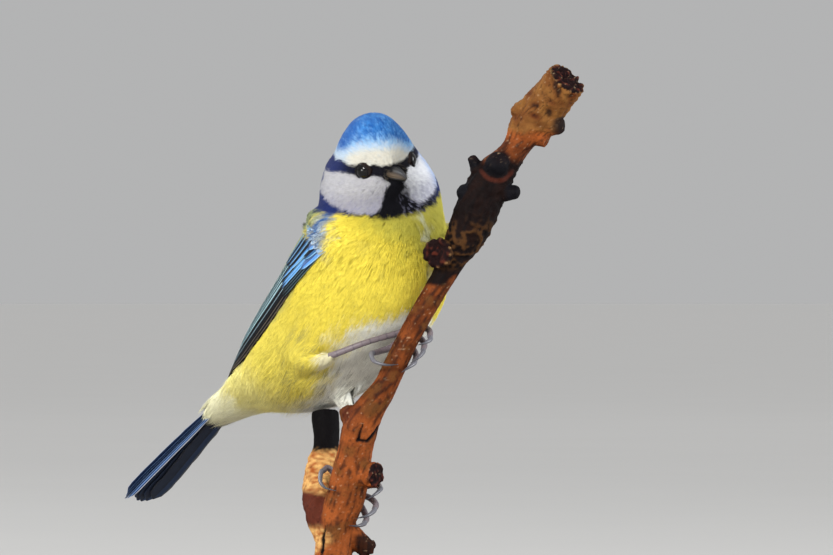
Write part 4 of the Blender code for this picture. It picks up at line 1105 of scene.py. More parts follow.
def covert_webs(v, rng):
    """Lesser covert: blue with a paler fringe, greener towards the back."""
    green = float(ease(0.42, 0.64, v))
    blue = mix(COVERT_BLUE, COVERT_LIGHT, rng.random())
    base = mix(blue, mix(MANTLE_GREEN, MANTLE_DARK, rng.random()**2), green)
    fringe = mix(mix(FRINGE_BLUE, FRINGE_PALE, rng.random()**2), FRINGE_GREEN, green)
    return webs(fringe, base, base * 0.75, base * 0.5, fringe, 0.86)


COVERT_BLUE = srgb(34, 66, 116)
COVERT_LIGHT = srgb(120, 164, 206)
FRINGE_BLUE = srgb(74, 112, 166)
FRINGE_PALE = srgb(206, 218, 224)
FRINGE_GREEN = srgb(166, 176, 136)


TAIL_WEB = webs(srgb(112, 144, 194), srgb(58, 92, 150), srgb(34, 48, 84), TAIL_SHAFT,
                low=srgb(34, 38, 44), edge_from=0.7)
TAIL_OUTER = webs(srgb(150, 150, 152), srgb(58, 84, 130), srgb(38, 50, 80), TAIL_SHAFT,
                  low=srgb(40, 44, 50), edge_from=0.85)


def sheet_points(side, u, v, lift):
    """Folded wing's sheet over the flank: u runs to the wing's tip, v from lower to upper edge."""
    u, v, lift = np.broadcast_arrays(*(np.asarray(a, dtype=float) for a in (u, v, lift)))
    places = np.interp(u, WING_PLACES, WING_STATIONS)
    low = smooth_curve(WING_PLACES, WING_LOWER, u.ravel()).reshape(u.shape)
    high = smooth_curve(WING_PLACES, WING_UPPER, u.ravel()).reshape(u.shape)
    turns = np.radians(mix(low, high, v))
    if side < 0.0:
        turns = math.pi - turns
    return body_points(places, turns, lift)


def wing_feather(parts, side, start, end, width, level, tilt, rows, colour, spot, rng, outer_share=0.4,
                 tip_round=0.16, root_share=0.75, camber=0.12, tuck=0.0):
    """Feather on the wing's sheet between two (u, v) places, leaning like a roof tile."""
    steps = np.linspace(0.0, 1.0, rows)
    u = mix(start[0], end[0], steps)
    v = mix(start[1], end[1], steps)
    level = level - tuck * (1.0 - steps)**1.3
    middles = sheet_points(side, u, v, level)
    ahead = unit(np.gradient(middles, axis=0))
    over = sheet_points(side, u, v + 0.01, level) - sheet_points(side, u, v - 0.01, level)
    over = unit(over - ahead * dot(over, ahead)[:, None])
    normals = unit(np.cross(ahead, over))
    outward = sheet_points(side, u, v, level + 1.0) - middles
    normals = normals * np.sign(dot(normals, outward))[:, None]
    lean = math.radians(tilt)
    across = over * math.cos(lean) - normals * math.sin(lean)
    normals = normals * math.cos(lean) + over * math.sin(lean)
    outer, inner = blade_widths(rows, width, tip_round, root_share, outer_share)
    blade(parts, middles, across, normals, outer, inner, camber, colour, spot, rng)


# Rows of vanes in the folded wing, from the lowest up: looks, how far along its row each vane is
# (evenly where None), the first vane's start and end on the wing's sheet as (u, v) with what is
# added to them up to the last vane, half width, lowest level, its step, lean, points and shape
VANE_ROWS = (
    ((OUTER_PRIMARY, DARK_EDGE, DARK_EDGE) * 2 + (PRIMARY, DARK_EDGE) * 2,
     (0.0, 0.04, 0.09, 0.16, 0.27, 0.39, 0.52, 0.66, 0.82, 1.0),
     (0.28, 0.08), (0.0, 0.28), (1.0, 0.14), (-0.15, 0.44), 1.55, 0.36, 0.06, 3.0, 22,
     {"outer_share": 0.30, "tip_round": 0.10, "camber": 0.02}),
    ((SECONDARY, DARK_EDGE) * 4 + (SECONDARY,), None,
     (0.32, 0.38), (0.0, 0.32), (0.80, 0.50), (-0.05, 0.28), 2.0, 0.92, 0.06, 3.0, 18,
     {"outer_share": 0.36, "camber": 0.02}),
    ((TERTIAL, DARK_EDGE) * 2 + (TERTIAL,), None,
     (0.30, 0.70), (0.0, 0.20), (0.75, 0.77), (-0.12, 0.16), 2.2, 1.42, 0.06, 3.0, 16,
     {"outer_share": 0.42, "tip_round": 0.25, "camber": 0.04}),
    ((DARK_COVERT,) * 3 + (PRIMARY_COVERT, PRIMARY_COVERT, DARK_COVERT, PRIMARY_COVERT), None,
     (0.22, 0.03), (0.0, 0.20), (0.54, 0.06), (-0.02, 0.30), 1.15, 1.02, 0.06, 4.0, 14,
     {"tip_round": 0.3, "camber": 0.04}),
    ((LOW_GREATER, DARK_EDGE) * 3 + (LOW_GREATER,) + (GREATER,) * 3, None,
     (0.18, 0.24), (0.0, 0.70), (0.45, 0.30), (0.07, 0.62), 1.25, 1.40, 0.05, 4.0, 12,
     {"tip_round": 0.3, "outer_share": 0.45, "camber": 0.04, "tuck": 0.4}),
    ((ALULA, LOW_GREATER, ALULA), None,
     (0.11, 0.0), (0.0, 0.14), (0.40, 0.08), (-0.10, 0.14), 1.3, 1.56, 0.07, 6.0, 12,
     {"tip_round": 0.35, "tuck": 0.8}),
)
# Rows of lesser coverts from the lowest: start and end down the wing, level and count
LESSER_ROWS = ((0.11, 0.25, 1.86, 11), (0.075, 0.20, 1.72, 13), (0.045, 0.155, 1.55, 14),
               (0.02, 0.115, 1.33, 15), (-0.01, 0.075, 1.05, 15))
# Grid of the wing's bake map, with one box for each feather
MAP_COLUMNS = 12
MAP_ROWS = 10


def make_wing(label, side):
    """Folded wing: primaries, secondaries, tertials, and the coverts in rows over them."""
    rng = np.random.default_rng(SEED + (1 if side > 0.0 else 2))
    parts = Parts()
    number = 0

    def add(start, end, width, level, tilt, rows, colour, shape):
        nonlocal number
        column = number % MAP_COLUMNS
        row = number // MAP_COLUMNS
        spot = (0.01 + 0.98 * column / MAP_COLUMNS, 0.01 + 0.98 * row / MAP_ROWS, 0.07, 0.04)
        wing_feather(parts, side, start, end, width, level, tilt, rows, colour, spot, rng, **shape)
        number += 1

    for looks, steps, start, start_shift, end, end_shift, width, level, rise, tilt, rows, shape in VANE_ROWS:
        if steps is None:
            steps = [k / (len(looks) - 1) for k in range(len(looks))]
        for k, s in enumerate(steps):
            add(np.array(start) + np.array(start_shift) * s, np.array(end) + np.array(end_shift) * s,
                width, level + rise * k, tilt, rows, looks[k], shape)
    lesser_shape = {"tip_round": 0.45, "outer_share": 0.5, "tuck": 1.3}
    for row, (start_u, end_u, level, count) in enumerate(LESSER_ROWS):
        for k in range(count):
            v = 0.02 + 0.93 * (k / (count - 1))
            jitter = rng.uniform(-0.008, 0.008)
            front = float(wing_front(v))
            shrink = 1.0 - front / 0.45
            start = front + shrink * max(0.0, start_u + jitter)
            end = front + shrink * (end_u + jitter)
            add((start, v), (end, 0.05 + 0.91 * (k / (count - 1))), 0.95 - 0.07 * row,
                level + 0.05 * rng.random(), 7.0, 9, covert_webs(v, rng), lesser_shape)
    wing_lining(parts, side)
    return parts.make("plumes_wing_" + label)


def wing_lining(parts, side, rows=26, columns=14, reach=0.93):
    """Dark plate under the feathers, so that no gap opens to the flank."""
    u = np.linspace(0.0, reach, rows)[:, None]
    v = np.linspace(0.04, 0.94, columns)[None, :]
    u = mix(wing_front(v), reach, u / reach)
    swell = ease(0.02, 0.15, u) * ease(0.5, 0.2, u) * np.sin(math.pi * v) ** 0.5
    top = sheet_points(side, u, v, 0.12 + 0.5 * swell)
    low = sheet_points(side, u, v, np.full((rows, columns), -0.4))
    faces = plate_net(rows, columns)
    points = np.concatenate([top.reshape(-1, 3), low.reshape(-1, 3)])
    uv = np.stack(np.broadcast_arrays(v, u), -1).reshape(-1, 2)
    uv = np.concatenate([uv, uv]) * 0.05 + 0.94
    parts.add(points, faces, BLACK_WEB, uv[faces.ravel()])


def make_tail():
    """Folded tail of six pairs of feathers, the middle pair on top and both halves sloping down."""
    rng = np.random.default_rng(SEED + 3)
    parts = Parts()
    centre = STATION_TABLE[0, :3]
    rows = 22
    steps = np.linspace(0.0, 1.0, rows)
    number = 0
    for pair in reversed(range(TAIL_PAIRS)):
        share = pair / (TAIL_PAIRS - 1)
        for side, slopes in ((1.0, TAIL_SLOPES_RIGHT), (-1.0, TAIL_SLOPES_LEFT)):
            length = TAIL_LENGTH - 1.2 * abs(share - 0.45) * 2.0 - 1.4 * share**4
            out = side * mix(slopes[0], slopes[1], share)
            level = mix(1.6, slopes[2], share) - (0.14 if side < 0.0 else 0.0)
            lean = math.radians(mix(4.0, slopes[3], share))
            spread = np.minimum(1.0, 0.45 + steps * 0.7)
            middles = centre + TAIL_BACK * mix(-4.0, length, steps)[:, None] \
                + TAIL_RIGHT * (out * spread)[:, None] \
                + TAIL_UPPER * (mix(0.6, level, spread) + 0.5 * steps * (1.0 - steps))[:, None]
            over = TAIL_RIGHT * math.cos(lean) * side - TAIL_UPPER * math.sin(lean)
            normal = TAIL_UPPER * math.cos(lean) + TAIL_RIGHT * math.sin(lean) * side
            outer, inner = blade_widths(rows, 2.4, 0.12, 0.45, 0.40 if pair else 0.5)
            colour = TAIL_OUTER if pair == TAIL_PAIRS - 1 else TAIL_WEB
            spot = (0.02 + 0.16 * (number % 6), 0.02 + 0.45 * (number // 6), 0.12, 0.2)
            blade(parts, middles, np.tile(-over, (rows, 1)), np.tile(normal, (rows, 1)), outer, inner,
                  0.05, colour, spot, rng)
            number += 1
    return parts.make("plumes_tail")


# Eyes and lids

PUPIL_EDGE = 1.50
IRIS_BROWN = srgb(30, 20, 17)


def make_eye(label, side):
    around = 48
    rings = 30
    polar = math.pi * (np.arange(rings) + 1.0) / (rings + 1.0)
    turns = circle(around)
    outward = eye_axis(side)
    level = unit(np.cross(HEAD_UP, outward))
    centre = eye_centre(side)
    grid = centre + EYE_RADIUS * (
        outward * np.cos(polar)[:, None, None]
        + level * (np.sin(polar)[:, None] * np.cos(turns)[None])[..., None]
        + HEAD_UP * (np.sin(polar)[:, None] * np.sin(turns)[None])[..., None])
    poles = [centre + outward * EYE_RADIUS, centre - outward * EYE_RADIUS]
    points = np.concatenate([grid.reshape(-1, 3), poles])
    faces, uvs = tube_net(rings, around)
    off_axis = np.linalg.norm(np.cross(points - centre, outward), axis=1)
    ahead = dot(points - centre, outward) > 0.0
    iris = ease(PUPIL_EDGE, PUPIL_EDGE + 0.12, off_axis) * ahead
    colours = mix(srgb(8, 7, 8), IRIS_BROWN, iris[:, None])
    return face_out(make_mesh("globe_" + label, points, faces, colours, uvs))


def make_lid(label, side):
    """Ring of bare skin round the eye, with small folds."""
    outward = eye_axis(side)
    level = unit(np.cross(HEAD_UP, outward))
    depth = math.sqrt(EYE_RADIUS**2 - LID_RADIUS**2)
    middle = eye_centre(side) + outward * depth
    around = 72
    section = 12
    turns = circle(around)
    radial = level * np.cos(turns)[:, None] + HEAD_UP * np.sin(turns)[:, None]
    beads = 1.0 + 0.10 * np.sin(turns * 18.0)
    angles = circle(section)
    tube = LID_THICKNESS * beads[:, None]
    reach = LID_RADIUS * (1.0 - 0.05 * np.abs(np.sin(turns)))[:, None] + tube * np.cos(angles)
    points = middle + radial[:, None] * reach[..., None] + outward * (tube * np.sin(angles))[..., None]
    i, k = np.meshgrid(np.arange(around), np.arange(section), indexing="ij")
    a = (i * section + k).ravel()
    b = (i * section + (k + 1) % section).ravel()
    c = ((i + 1) % around * section + (k + 1) % section).ravel()
    d = ((i + 1) % around * section + k).ravel()
    faces = np.concatenate([np.stack([a, b, c], 1), np.stack([a, c, d], 1)])
    uvs = np.stack([i.ravel() / around, k.ravel() / section], 1)
    uvs = np.concatenate([uvs[:, None].repeat(3, 1), uvs[:, None].repeat(3, 1)]).reshape(-1, 2)
    return face_out(make_mesh("lid_" + label, points.reshape(-1, 3), faces,
                              np.tile(srgb(20, 17, 19), (around * section, 1)), uvs))


# Bill

def make_bill(label, is_upper):
    rings = 34
    sides = 24
    shares = np.linspace(0.0, 1.0, rings)[:, None]
    taper = np.sqrt(np.maximum(0.0, 1.0 - shares**1.35))
    half_width = BILL_HALF_WIDTH * (1.0 - shares)**0.85 + 0.10
    height = (BILL_UPPER_HEIGHT if is_upper else BILL_LOWER_HEIGHT) * taper + 0.09
    reach = shares * (1.0 if is_upper else 0.93)
    forward = BILL_BASE_FORWARD - 0.6 + (BILL_LENGTH + 0.6) * reach
    droop = -BILL_BASE_DROP - 0.35 * reach**2
    sign = 1.0 if is_upper else -1.0
    angles = math.pi * np.arange(sides + 1) / sides
    ridge = 1.0 + 0.05 * np.exp(-((angles - math.pi * 0.5) / 0.18)**2)
    across = half_width * np.cos(angles)
    up = droop + sign * (0.06 + height * np.sin(angles)**0.9 * ridge)
    if is_upper:
        pit = np.exp(-((forward - BILL_BASE_FORWARD - 1.0) / 0.42)**2 - ((np.abs(across) - 1.35) / 0.3)**2)
        pit = pit * (np.sin(angles) > 0.45)
        across = across * (1.0 - 0.16 * pit)
    else:
        pit = np.zeros_like(across)
    points = (EYE_MIDPOINT + FACE * (forward + 0 * across)[..., None] + HEAD_RIGHT * across[..., None]
              + HEAD_UP * up[..., None])
    ends = np.stack([points[0].mean(axis=0), points[-1].mean(axis=0)])
    faces, uvs = tube_net(rings, sides + 1)
    edge = ease(0.85 if is_upper else 0.3, 0.05, np.sin(angles))[None] * ease(1.0, 0.75, shares)
    horn = srgb(17, 18, 25) if is_upper else srgb(11, 10, 11)
    colours = mix(horn, srgb(112, 97, 80), (0.7 * edge)[..., None])
    colours = mix(colours, srgb(34, 32, 34), (ease(0.35, 1.0, shares) * 0.45 + 0 * edge)[..., None])
    # The nostril's shallow pit is painted near black, as the shade inside the nostril.
    colours = mix(colours, srgb(10, 9, 10), np.clip(pit * 1.6, 0.0, 1.0)[..., None])
    points = np.concatenate([points.reshape(-1, 3), ends])
    colours = with_ends(colours.reshape(-1, 3), sides + 1)
    return face_out(make_mesh("horn_" + label, points, faces, colours, uvs))


BRISTLES = 64
BRISTLE_RADIUS = 0.055
BRISTLE_DARK = srgb(16, 15, 19)
BRISTLE_PALE = srgb(104, 96, 84)


def make_bristles():
    """Fine dark bristles over the base of the bill."""
    rng = np.random.default_rng(SEED + 5)
    parts = Parts()
    steps = np.linspace(0.0, 1.0, 6)
    for number in range(BRISTLES):
        turn = rng.uniform(-0.5, math.pi + 0.5)
        out = HEAD_RIGHT * math.cos(turn) * BILL_HALF_WIDTH + HEAD_UP * math.sin(turn) * BILL_UPPER_HEIGHT
        base = EYE_MIDPOINT + FACE * (BILL_BASE_FORWARD - rng.uniform(0.2, 1.1)) - HEAD_UP * BILL_BASE_DROP
        start = base + out * rng.uniform(1.15, 1.45)
        ahead = FACE * rng.uniform(1.3, 2.5) + out * rng.uniform(-0.15, 0.25)
        ahead = ahead - HEAD_UP * rng.uniform(0.0, 0.4)
        path = start + ahead * steps[:, None] + unit(out) * (0.25 * steps * (1.0 - steps))[:, None]
        tint = mix(BRISTLE_DARK, BRISTLE_PALE, rng.random()**3)
        box = (number / BRISTLES, 0.0, (number + 0.8) / BRISTLES, 1.0)
        parts.add_tube(path, BRISTLE_RADIUS * (1.0 - 0.8 * steps), 5, tint, box)
    return parts.make("bristles")


# Legs: routes from the thighs to the claws' tips, as in the solids

LEGS = {
    "right": {
        "tarsus": ((-4.6, -17.0, 64.8), (-3.1, -17.9, 65.3), (4.0, -18.7, 68.0), (12.4, -16.1, 70.4)),
        "toes": (
            ((12.3, -16.0, 69.3), (10.0, -16.2, 66.9), (7.2, -18.0, 65.9), (5.7, -20.4, 65.5)),
            ((13.1, -15.8, 70.7), (16.4, -15.9, 71.7), (18.7, -17.9, 70.9), (19.0, -20.7, 69.2)),
            ((12.9, -15.7, 70.3), (15.8, -15.7, 69.6), (17.6, -17.5, 67.9), (17.4, -20.3, 66.2)),
            ((12.4, -15.7, 69.4), (14.4, -15.6, 67.2), (15.7, -17.3, 65.1), (15.4, -19.9, 63.6)),
        ),
        "claws": (
            ((5.9, -23.4, 63.7), (8.7, -24.5, 62.8), (11.6, -23.9, 62.9)),
            ((17.7, -23.3, 67.9), (15.9, -23.9, 67.4)),
            ((16.2, -23.0, 64.4), (14.4, -23.7, 63.2)),
            ((13.9, -22.5, 62.1), (12.3, -23.6, 61.0)),
        ),
    },
    "left": {
        "tarsus": ((1.0, -5.0, 50.4), (1.1, -5.7, 49.0), (1.2, -7.4, 41.0), (1.0, -8.8, 32.6)),
        "toes": (
            ((0.2, -9.0, 32.6), (-2.5, -8.8, 35.6), (-5.0, -9.8, 38.2), (-6.2, -12.0, 37.6)),
            ((1.4, -8.8, 32.9), (4.4, -9.3, 34.0), (6.6, -11.6, 34.2), (7.2, -14.4, 33.6)),
            ((1.4, -8.7, 32.2), (4.6, -9.1, 31.2), (6.2, -11.6, 29.8), (5.9, -14.6, 28.6)),
            ((1.0, -8.8, 31.6), (2.9, -8.9, 28.9), (4.0, -11.0, 26.5), (3.6, -14.0, 25.5)),
        ),
        "claws": (
            ((-6.8, -15.5, 35.2), (-5.6, -18.0, 33.8), (-2.9, -19.4, 33.1)),
            ((6.0, -17.6, 32.2), (4.0, -18.9, 31.0)),
            ((4.2, -17.9, 27.2), (1.6, -19.0, 26.6)),
            ((2.0, -17.4, 24.8), (0.0, -18.4, 24.9)),
        ),
    },
}
TARSUS_RADII = (0.80, 0.72, 0.68, 0.76)
TOE_RADII = (0.62, 0.76, 0.72, 0.62)
CLAW_RADIUS = 0.62
CLAW_SIDES = 14
CLAW_GREY = srgb(104, 104, 112)
CLAW_TIP = srgb(48, 48, 55)
LEG_BLUE = srgb(112, 101, 106)
LEG_SHADE = srgb(78, 70, 80)
# Bare parts of the legs that the coat keeps clear of
LEG_CORES = [leg["tarsus"][1:] for leg in LEGS.values()]
LEG_CORES += [route for leg in LEGS.values() for route in leg["toes"]]
LEG_CORE_RADIUS = 0.74


def scaly_tube(parts, route, radii, count, plates, box, depth=0.07, pads=0):
    """Tube with overlapping plates along its front and, on a toe, pads below."""
    steps = np.linspace(0.0, 1.0, count)
    path = along_points(np.array(route), steps)
    sizes = smooth_curve(np.linspace(0.0, 1.0, len(radii)), radii, steps)
    around = 20
    turns = circle(around)
    saw = (steps * plates) % 1.0
    relief = 1.0 + depth * (saw - 0.5)[:, None] * (0.6 + 0.4 * np.cos(turns))[None]
    if pads:
        swell = np.abs(np.sin(steps * math.pi * pads))[:, None]
        relief = relief + 0.12 * swell * np.clip(-np.sin(turns), 0.0, 1.0)[None]
    size = sizes[:, None] * relief
    groove = ease(0.16, 0.0, saw)[:, None] + 0 * turns[None]
    colours = mix(LEG_BLUE, LEG_SHADE, groove[..., None])
    parts.add_tube(path, size, around, colours.reshape(-1, 3), box)


def make_leg(label):
    leg = LEGS[label]
    parts = Parts()
    scaly_tube(parts, leg["tarsus"], TARSUS_RADII, 96, 9, (0.0, 0.0, 0.3, 1.0))
    for number, route in enumerate(leg["toes"]):
        left = 0.34 + 0.16 * number
        scaly_tube(parts, route, TOE_RADII, 64, 11, (left, 0.0, left + 0.14, 1.0), 0.09, 3)
    claws = Parts()
    for number, bend in enumerate(leg["claws"]):
        toe = leg["toes"][number]
        tip = np.array(toe[-1])
        ahead = unit(tip - np.array(toe[-2]))
        route = np.array([tip - ahead * 0.5, tip + ahead * 0.9, *bend])
        steps = np.linspace(0.0, 1.0, 30)
        radii = CLAW_RADIUS * (1.0 - steps**1.6 * 0.93)
        colours = mix(CLAW_GREY, CLAW_TIP, ease(0.3, 1.0, steps)[:, None])
        box = (0.02 + 0.24 * number, 0.0, 0.22 + 0.24 * number, 1.0)
        colours = np.repeat(colours, CLAW_SIDES, axis=0)
        claws.add_tube(along_points(route, steps), radii, CLAW_SIDES, colours, box)
    return parts.make("foot_and_leg_" + label), claws.make("talons_" + label)


# Branch: axis and radius of the main stem from the cut lower end to the knobby top

STEM_POINTS = (
    (-3.9, -14.0, 16.0), (-3.4, -14.0, 21.3), (-2.7, -14.2, 26.3), (-1.0, -14.3, 31.0),
    (0.1, -14.9, 35.8), (1.5, -16.0, 42.8), (2.6, -17.2, 47.8), (5.0, -18.4, 52.5),
    (8.2, -19.4, 57.2), (10.9, -20.0, 62.7), (13.5, -20.3, 68.3), (18.9, -20.6, 78.0),
    (21.9, -20.9, 83.1), (25.1, -21.2, 89.0), (28.4, -21.5, 95.1), (31.0, -21.8, 101.5),
    (34.1, -22.0, 107.4), (38.5, -22.2, 112.8), (42.0, -22.3, 118.6), (45.6, -22.5, 123.6),
)
STEM_RADII = (4.6, 4.3, 4.3, 4.6, 4.6, 4.2, 4.2, 3.6, 3.0, 2.75, 2.7, 2.75,
              2.9, 3.5, 4.8, 4.9, 4.5, 3.2, 4.2, 4.7)
BRANCH_POINTS = ((-6.0, 4.5, 51.2), (-5.8, 3.5, 48.1), (-5.7, 1.0, 43.4), (-6.9, -3.0, 37.5),
                 (-7.6, -7.0, 31.7), (-6.4, -10.5, 27.1), (-4.6, -13.0, 21.5))
BRANCH_RADII = (3.3, 3.3, 3.1, 3.5, 3.6, 3.8, 3.4)
# Knobs on the stem with their root, tip and both radii; buds with their knob's number and radius
KNOBS = (
    ((32.0, -22.0, 105.0), (28.9, -23.5, 111.2), 2.3, 1.2),
    ((34.0, -22.0, 108.0), (34.8, -26.6, 110.2), 3.0, 2.7),
    ((34.5, -22.5, 103.0), (39.0, -24.0, 103.2), 2.2, 1.7),
    ((42.5, -22.0, 120.5), (39.4, -22.8, 123.8), 2.8, 2.2),
    ((44.0, -22.5, 119.0), (49.2, -24.0, 118.8), 2.6, 2.2),
    ((27.0, -20.5, 91.0), (23.8, -23.0, 91.6), 2.4, 1.9),
    ((22.6, -20.5, 88.4), (20.6, -25.8, 89.0), 2.9, 3.3),
    ((1.6, -15.5, 37.0), (6.4, -19.2, 36.8), 3.1, 3.0),
    ((-1.5, -14.5, 24.5), (4.8, -12.8, 18.5), 2.7, 2.3),
    ((0.6, -16.8, 51.0), (-1.3, -17.8, 50.4), 2.5, 2.1),
    ((44.8, -21.0, 121.8), (51.0, -26.6, 129.6), 5.0, 4.5),
    ((42.5, -22.0, 117.0), (46.4, -23.6, 115.2), 2.3, 1.7),
    ((30.0, -21.5, 101.0), (26.7, -22.5, 103.6), 2.4, 1.8),
)
BUDS = ((0, 2.4), (1, 3.2), (2, 2.6), (4, 2.4), (12, 2.4))
BARK_VOXEL = 0.30

# Cracks on the front of the bark, as heights and sideways places
SPLIT = ((3.3, 49.4), (2.7, 46.8), (2.1, 45.0), (4.3, 44.7), (6.0, 46.6), (8.2, 50.0))
LONG_CRACK = ((-5.6, 25.0), (-6.1, 21.5), (-6.7, 17.0))

BARK_ORANGE = srgb(148, 78, 36)
BARK_BROWN = srgb(82, 40, 18)
BARK_DARK = srgb(36, 24, 20)
BARK_BLACK = srgb(11, 9, 11)
BARK_GOLD = srgb(126, 84, 42)
BARK_RED = srgb(96, 44, 30)
WOOD_PALE = srgb(214, 168, 104)
CUT_RED = srgb(26, 12, 13)
CUT_ORANGE = srgb(96, 42, 28)
CUT_PALE = srgb(186, 150, 98)
BUD_BLACK = srgb(14, 14, 19)
LENTICEL_TAN = srgb(222, 190, 150)


def near_point(points, place, radius):
    return np.exp(-(np.linalg.norm(points - np.array(place), axis=1) / radius)**2)


def on_front(points, normals, route, width):
    """1 along a line drawn on the side of the bark that faces the camera."""
    flat = points * np.array([1.0, 0.0, 1.0])
    wobble = 0.35 * noise_at(points, 1.1, 5.0)[:, None] * np.array([1.0, 0.0, 0.6])
    away, share = nearest_on(flat + wobble, [(x, 0.0, z) for x, z in route])
    narrow = width * np.clip(4.0 * share * (1.0 - share), 0.15, 1.0)
    return np.clip(1.0 - away / narrow, 0.0, 1.0) * ease(0.1, -0.3, normals[:, 1])


def cut_faces():
    """Middle, outward direction and radius of the stubs' broken faces, with their two tints."""
    faces = []
    for knob, radius in ((10, 4.9), (6, 3.6), (7, 3.3), (8, 2.6)):
        root, tip = np.array(KNOBS[knob][0]), np.array(KNOBS[knob][1])
        faces.append((tip, unit(tip - root), radius, CUT_RED, CUT_ORANGE))
    end, before = np.array(STEM_POINTS[0]), np.array(STEM_POINTS[1])
    faces.append((end, unit(end - before), 5.0, WOOD_PALE, CUT_PALE))
    return faces


def make_branch():
    """Bark of the perch: orange-brown below, black and knobby past the bird, golden at the top."""
    parts = Parts()

    def limb(route, radii, count, sides):
        steps = np.linspace(0.0, 1.0, count)
        sizes = smooth_curve(length_knots(route), radii, steps)
        parts.add_tube(along_points(np.array(route), steps), sizes, sides, np.zeros(3))

    limb(STEM_POINTS, STEM_RADII, 160, 40)
    limb(BRANCH_POINTS, BRANCH_RADII, 60, 36)
    for root, tip, root_radius, tip_radius in KNOBS:
        middle = mix(root, tip, 0.6)
        limb((root, middle, tip), (root_radius, mix(root_radius, tip_radius, 0.5), tip_radius), 12, 24)
    for bud, _ in BUDS:
        tip = np.array(KNOBS[bud][1])
        ahead = unit(tip - np.array(KNOBS[bud][0]))
        size = KNOBS[bud][3]
        limb((tip - ahead, tip + ahead * 0.3 * size, tip + ahead * 0.6 * size),
             (size, 0.9 * size, 0.45 * size), 8, 20)
    branch = parts.make("bark")
    modify(branch, "REMESH", mode="VOXEL", voxel_size=BARK_VOXEL * MM)
    modify(branch, "SMOOTH", factor=0.5, iterations=5)
    bake_modifiers(branch)
    mesh = branch.data
    points = mesh_points(branch)
    normals = read(mesh.vertices, "normal", 3).astype(float)
    relief, colours = bark_looks(points, normals)
    moved = points + normals * relief[:, None]
    mesh.vertices.foreach_set("co", (moved * MM).astype(np.float32).ravel())
    mesh.update()
    add_tint(mesh, colours)
    mesh.shade_smooth()
    return branch


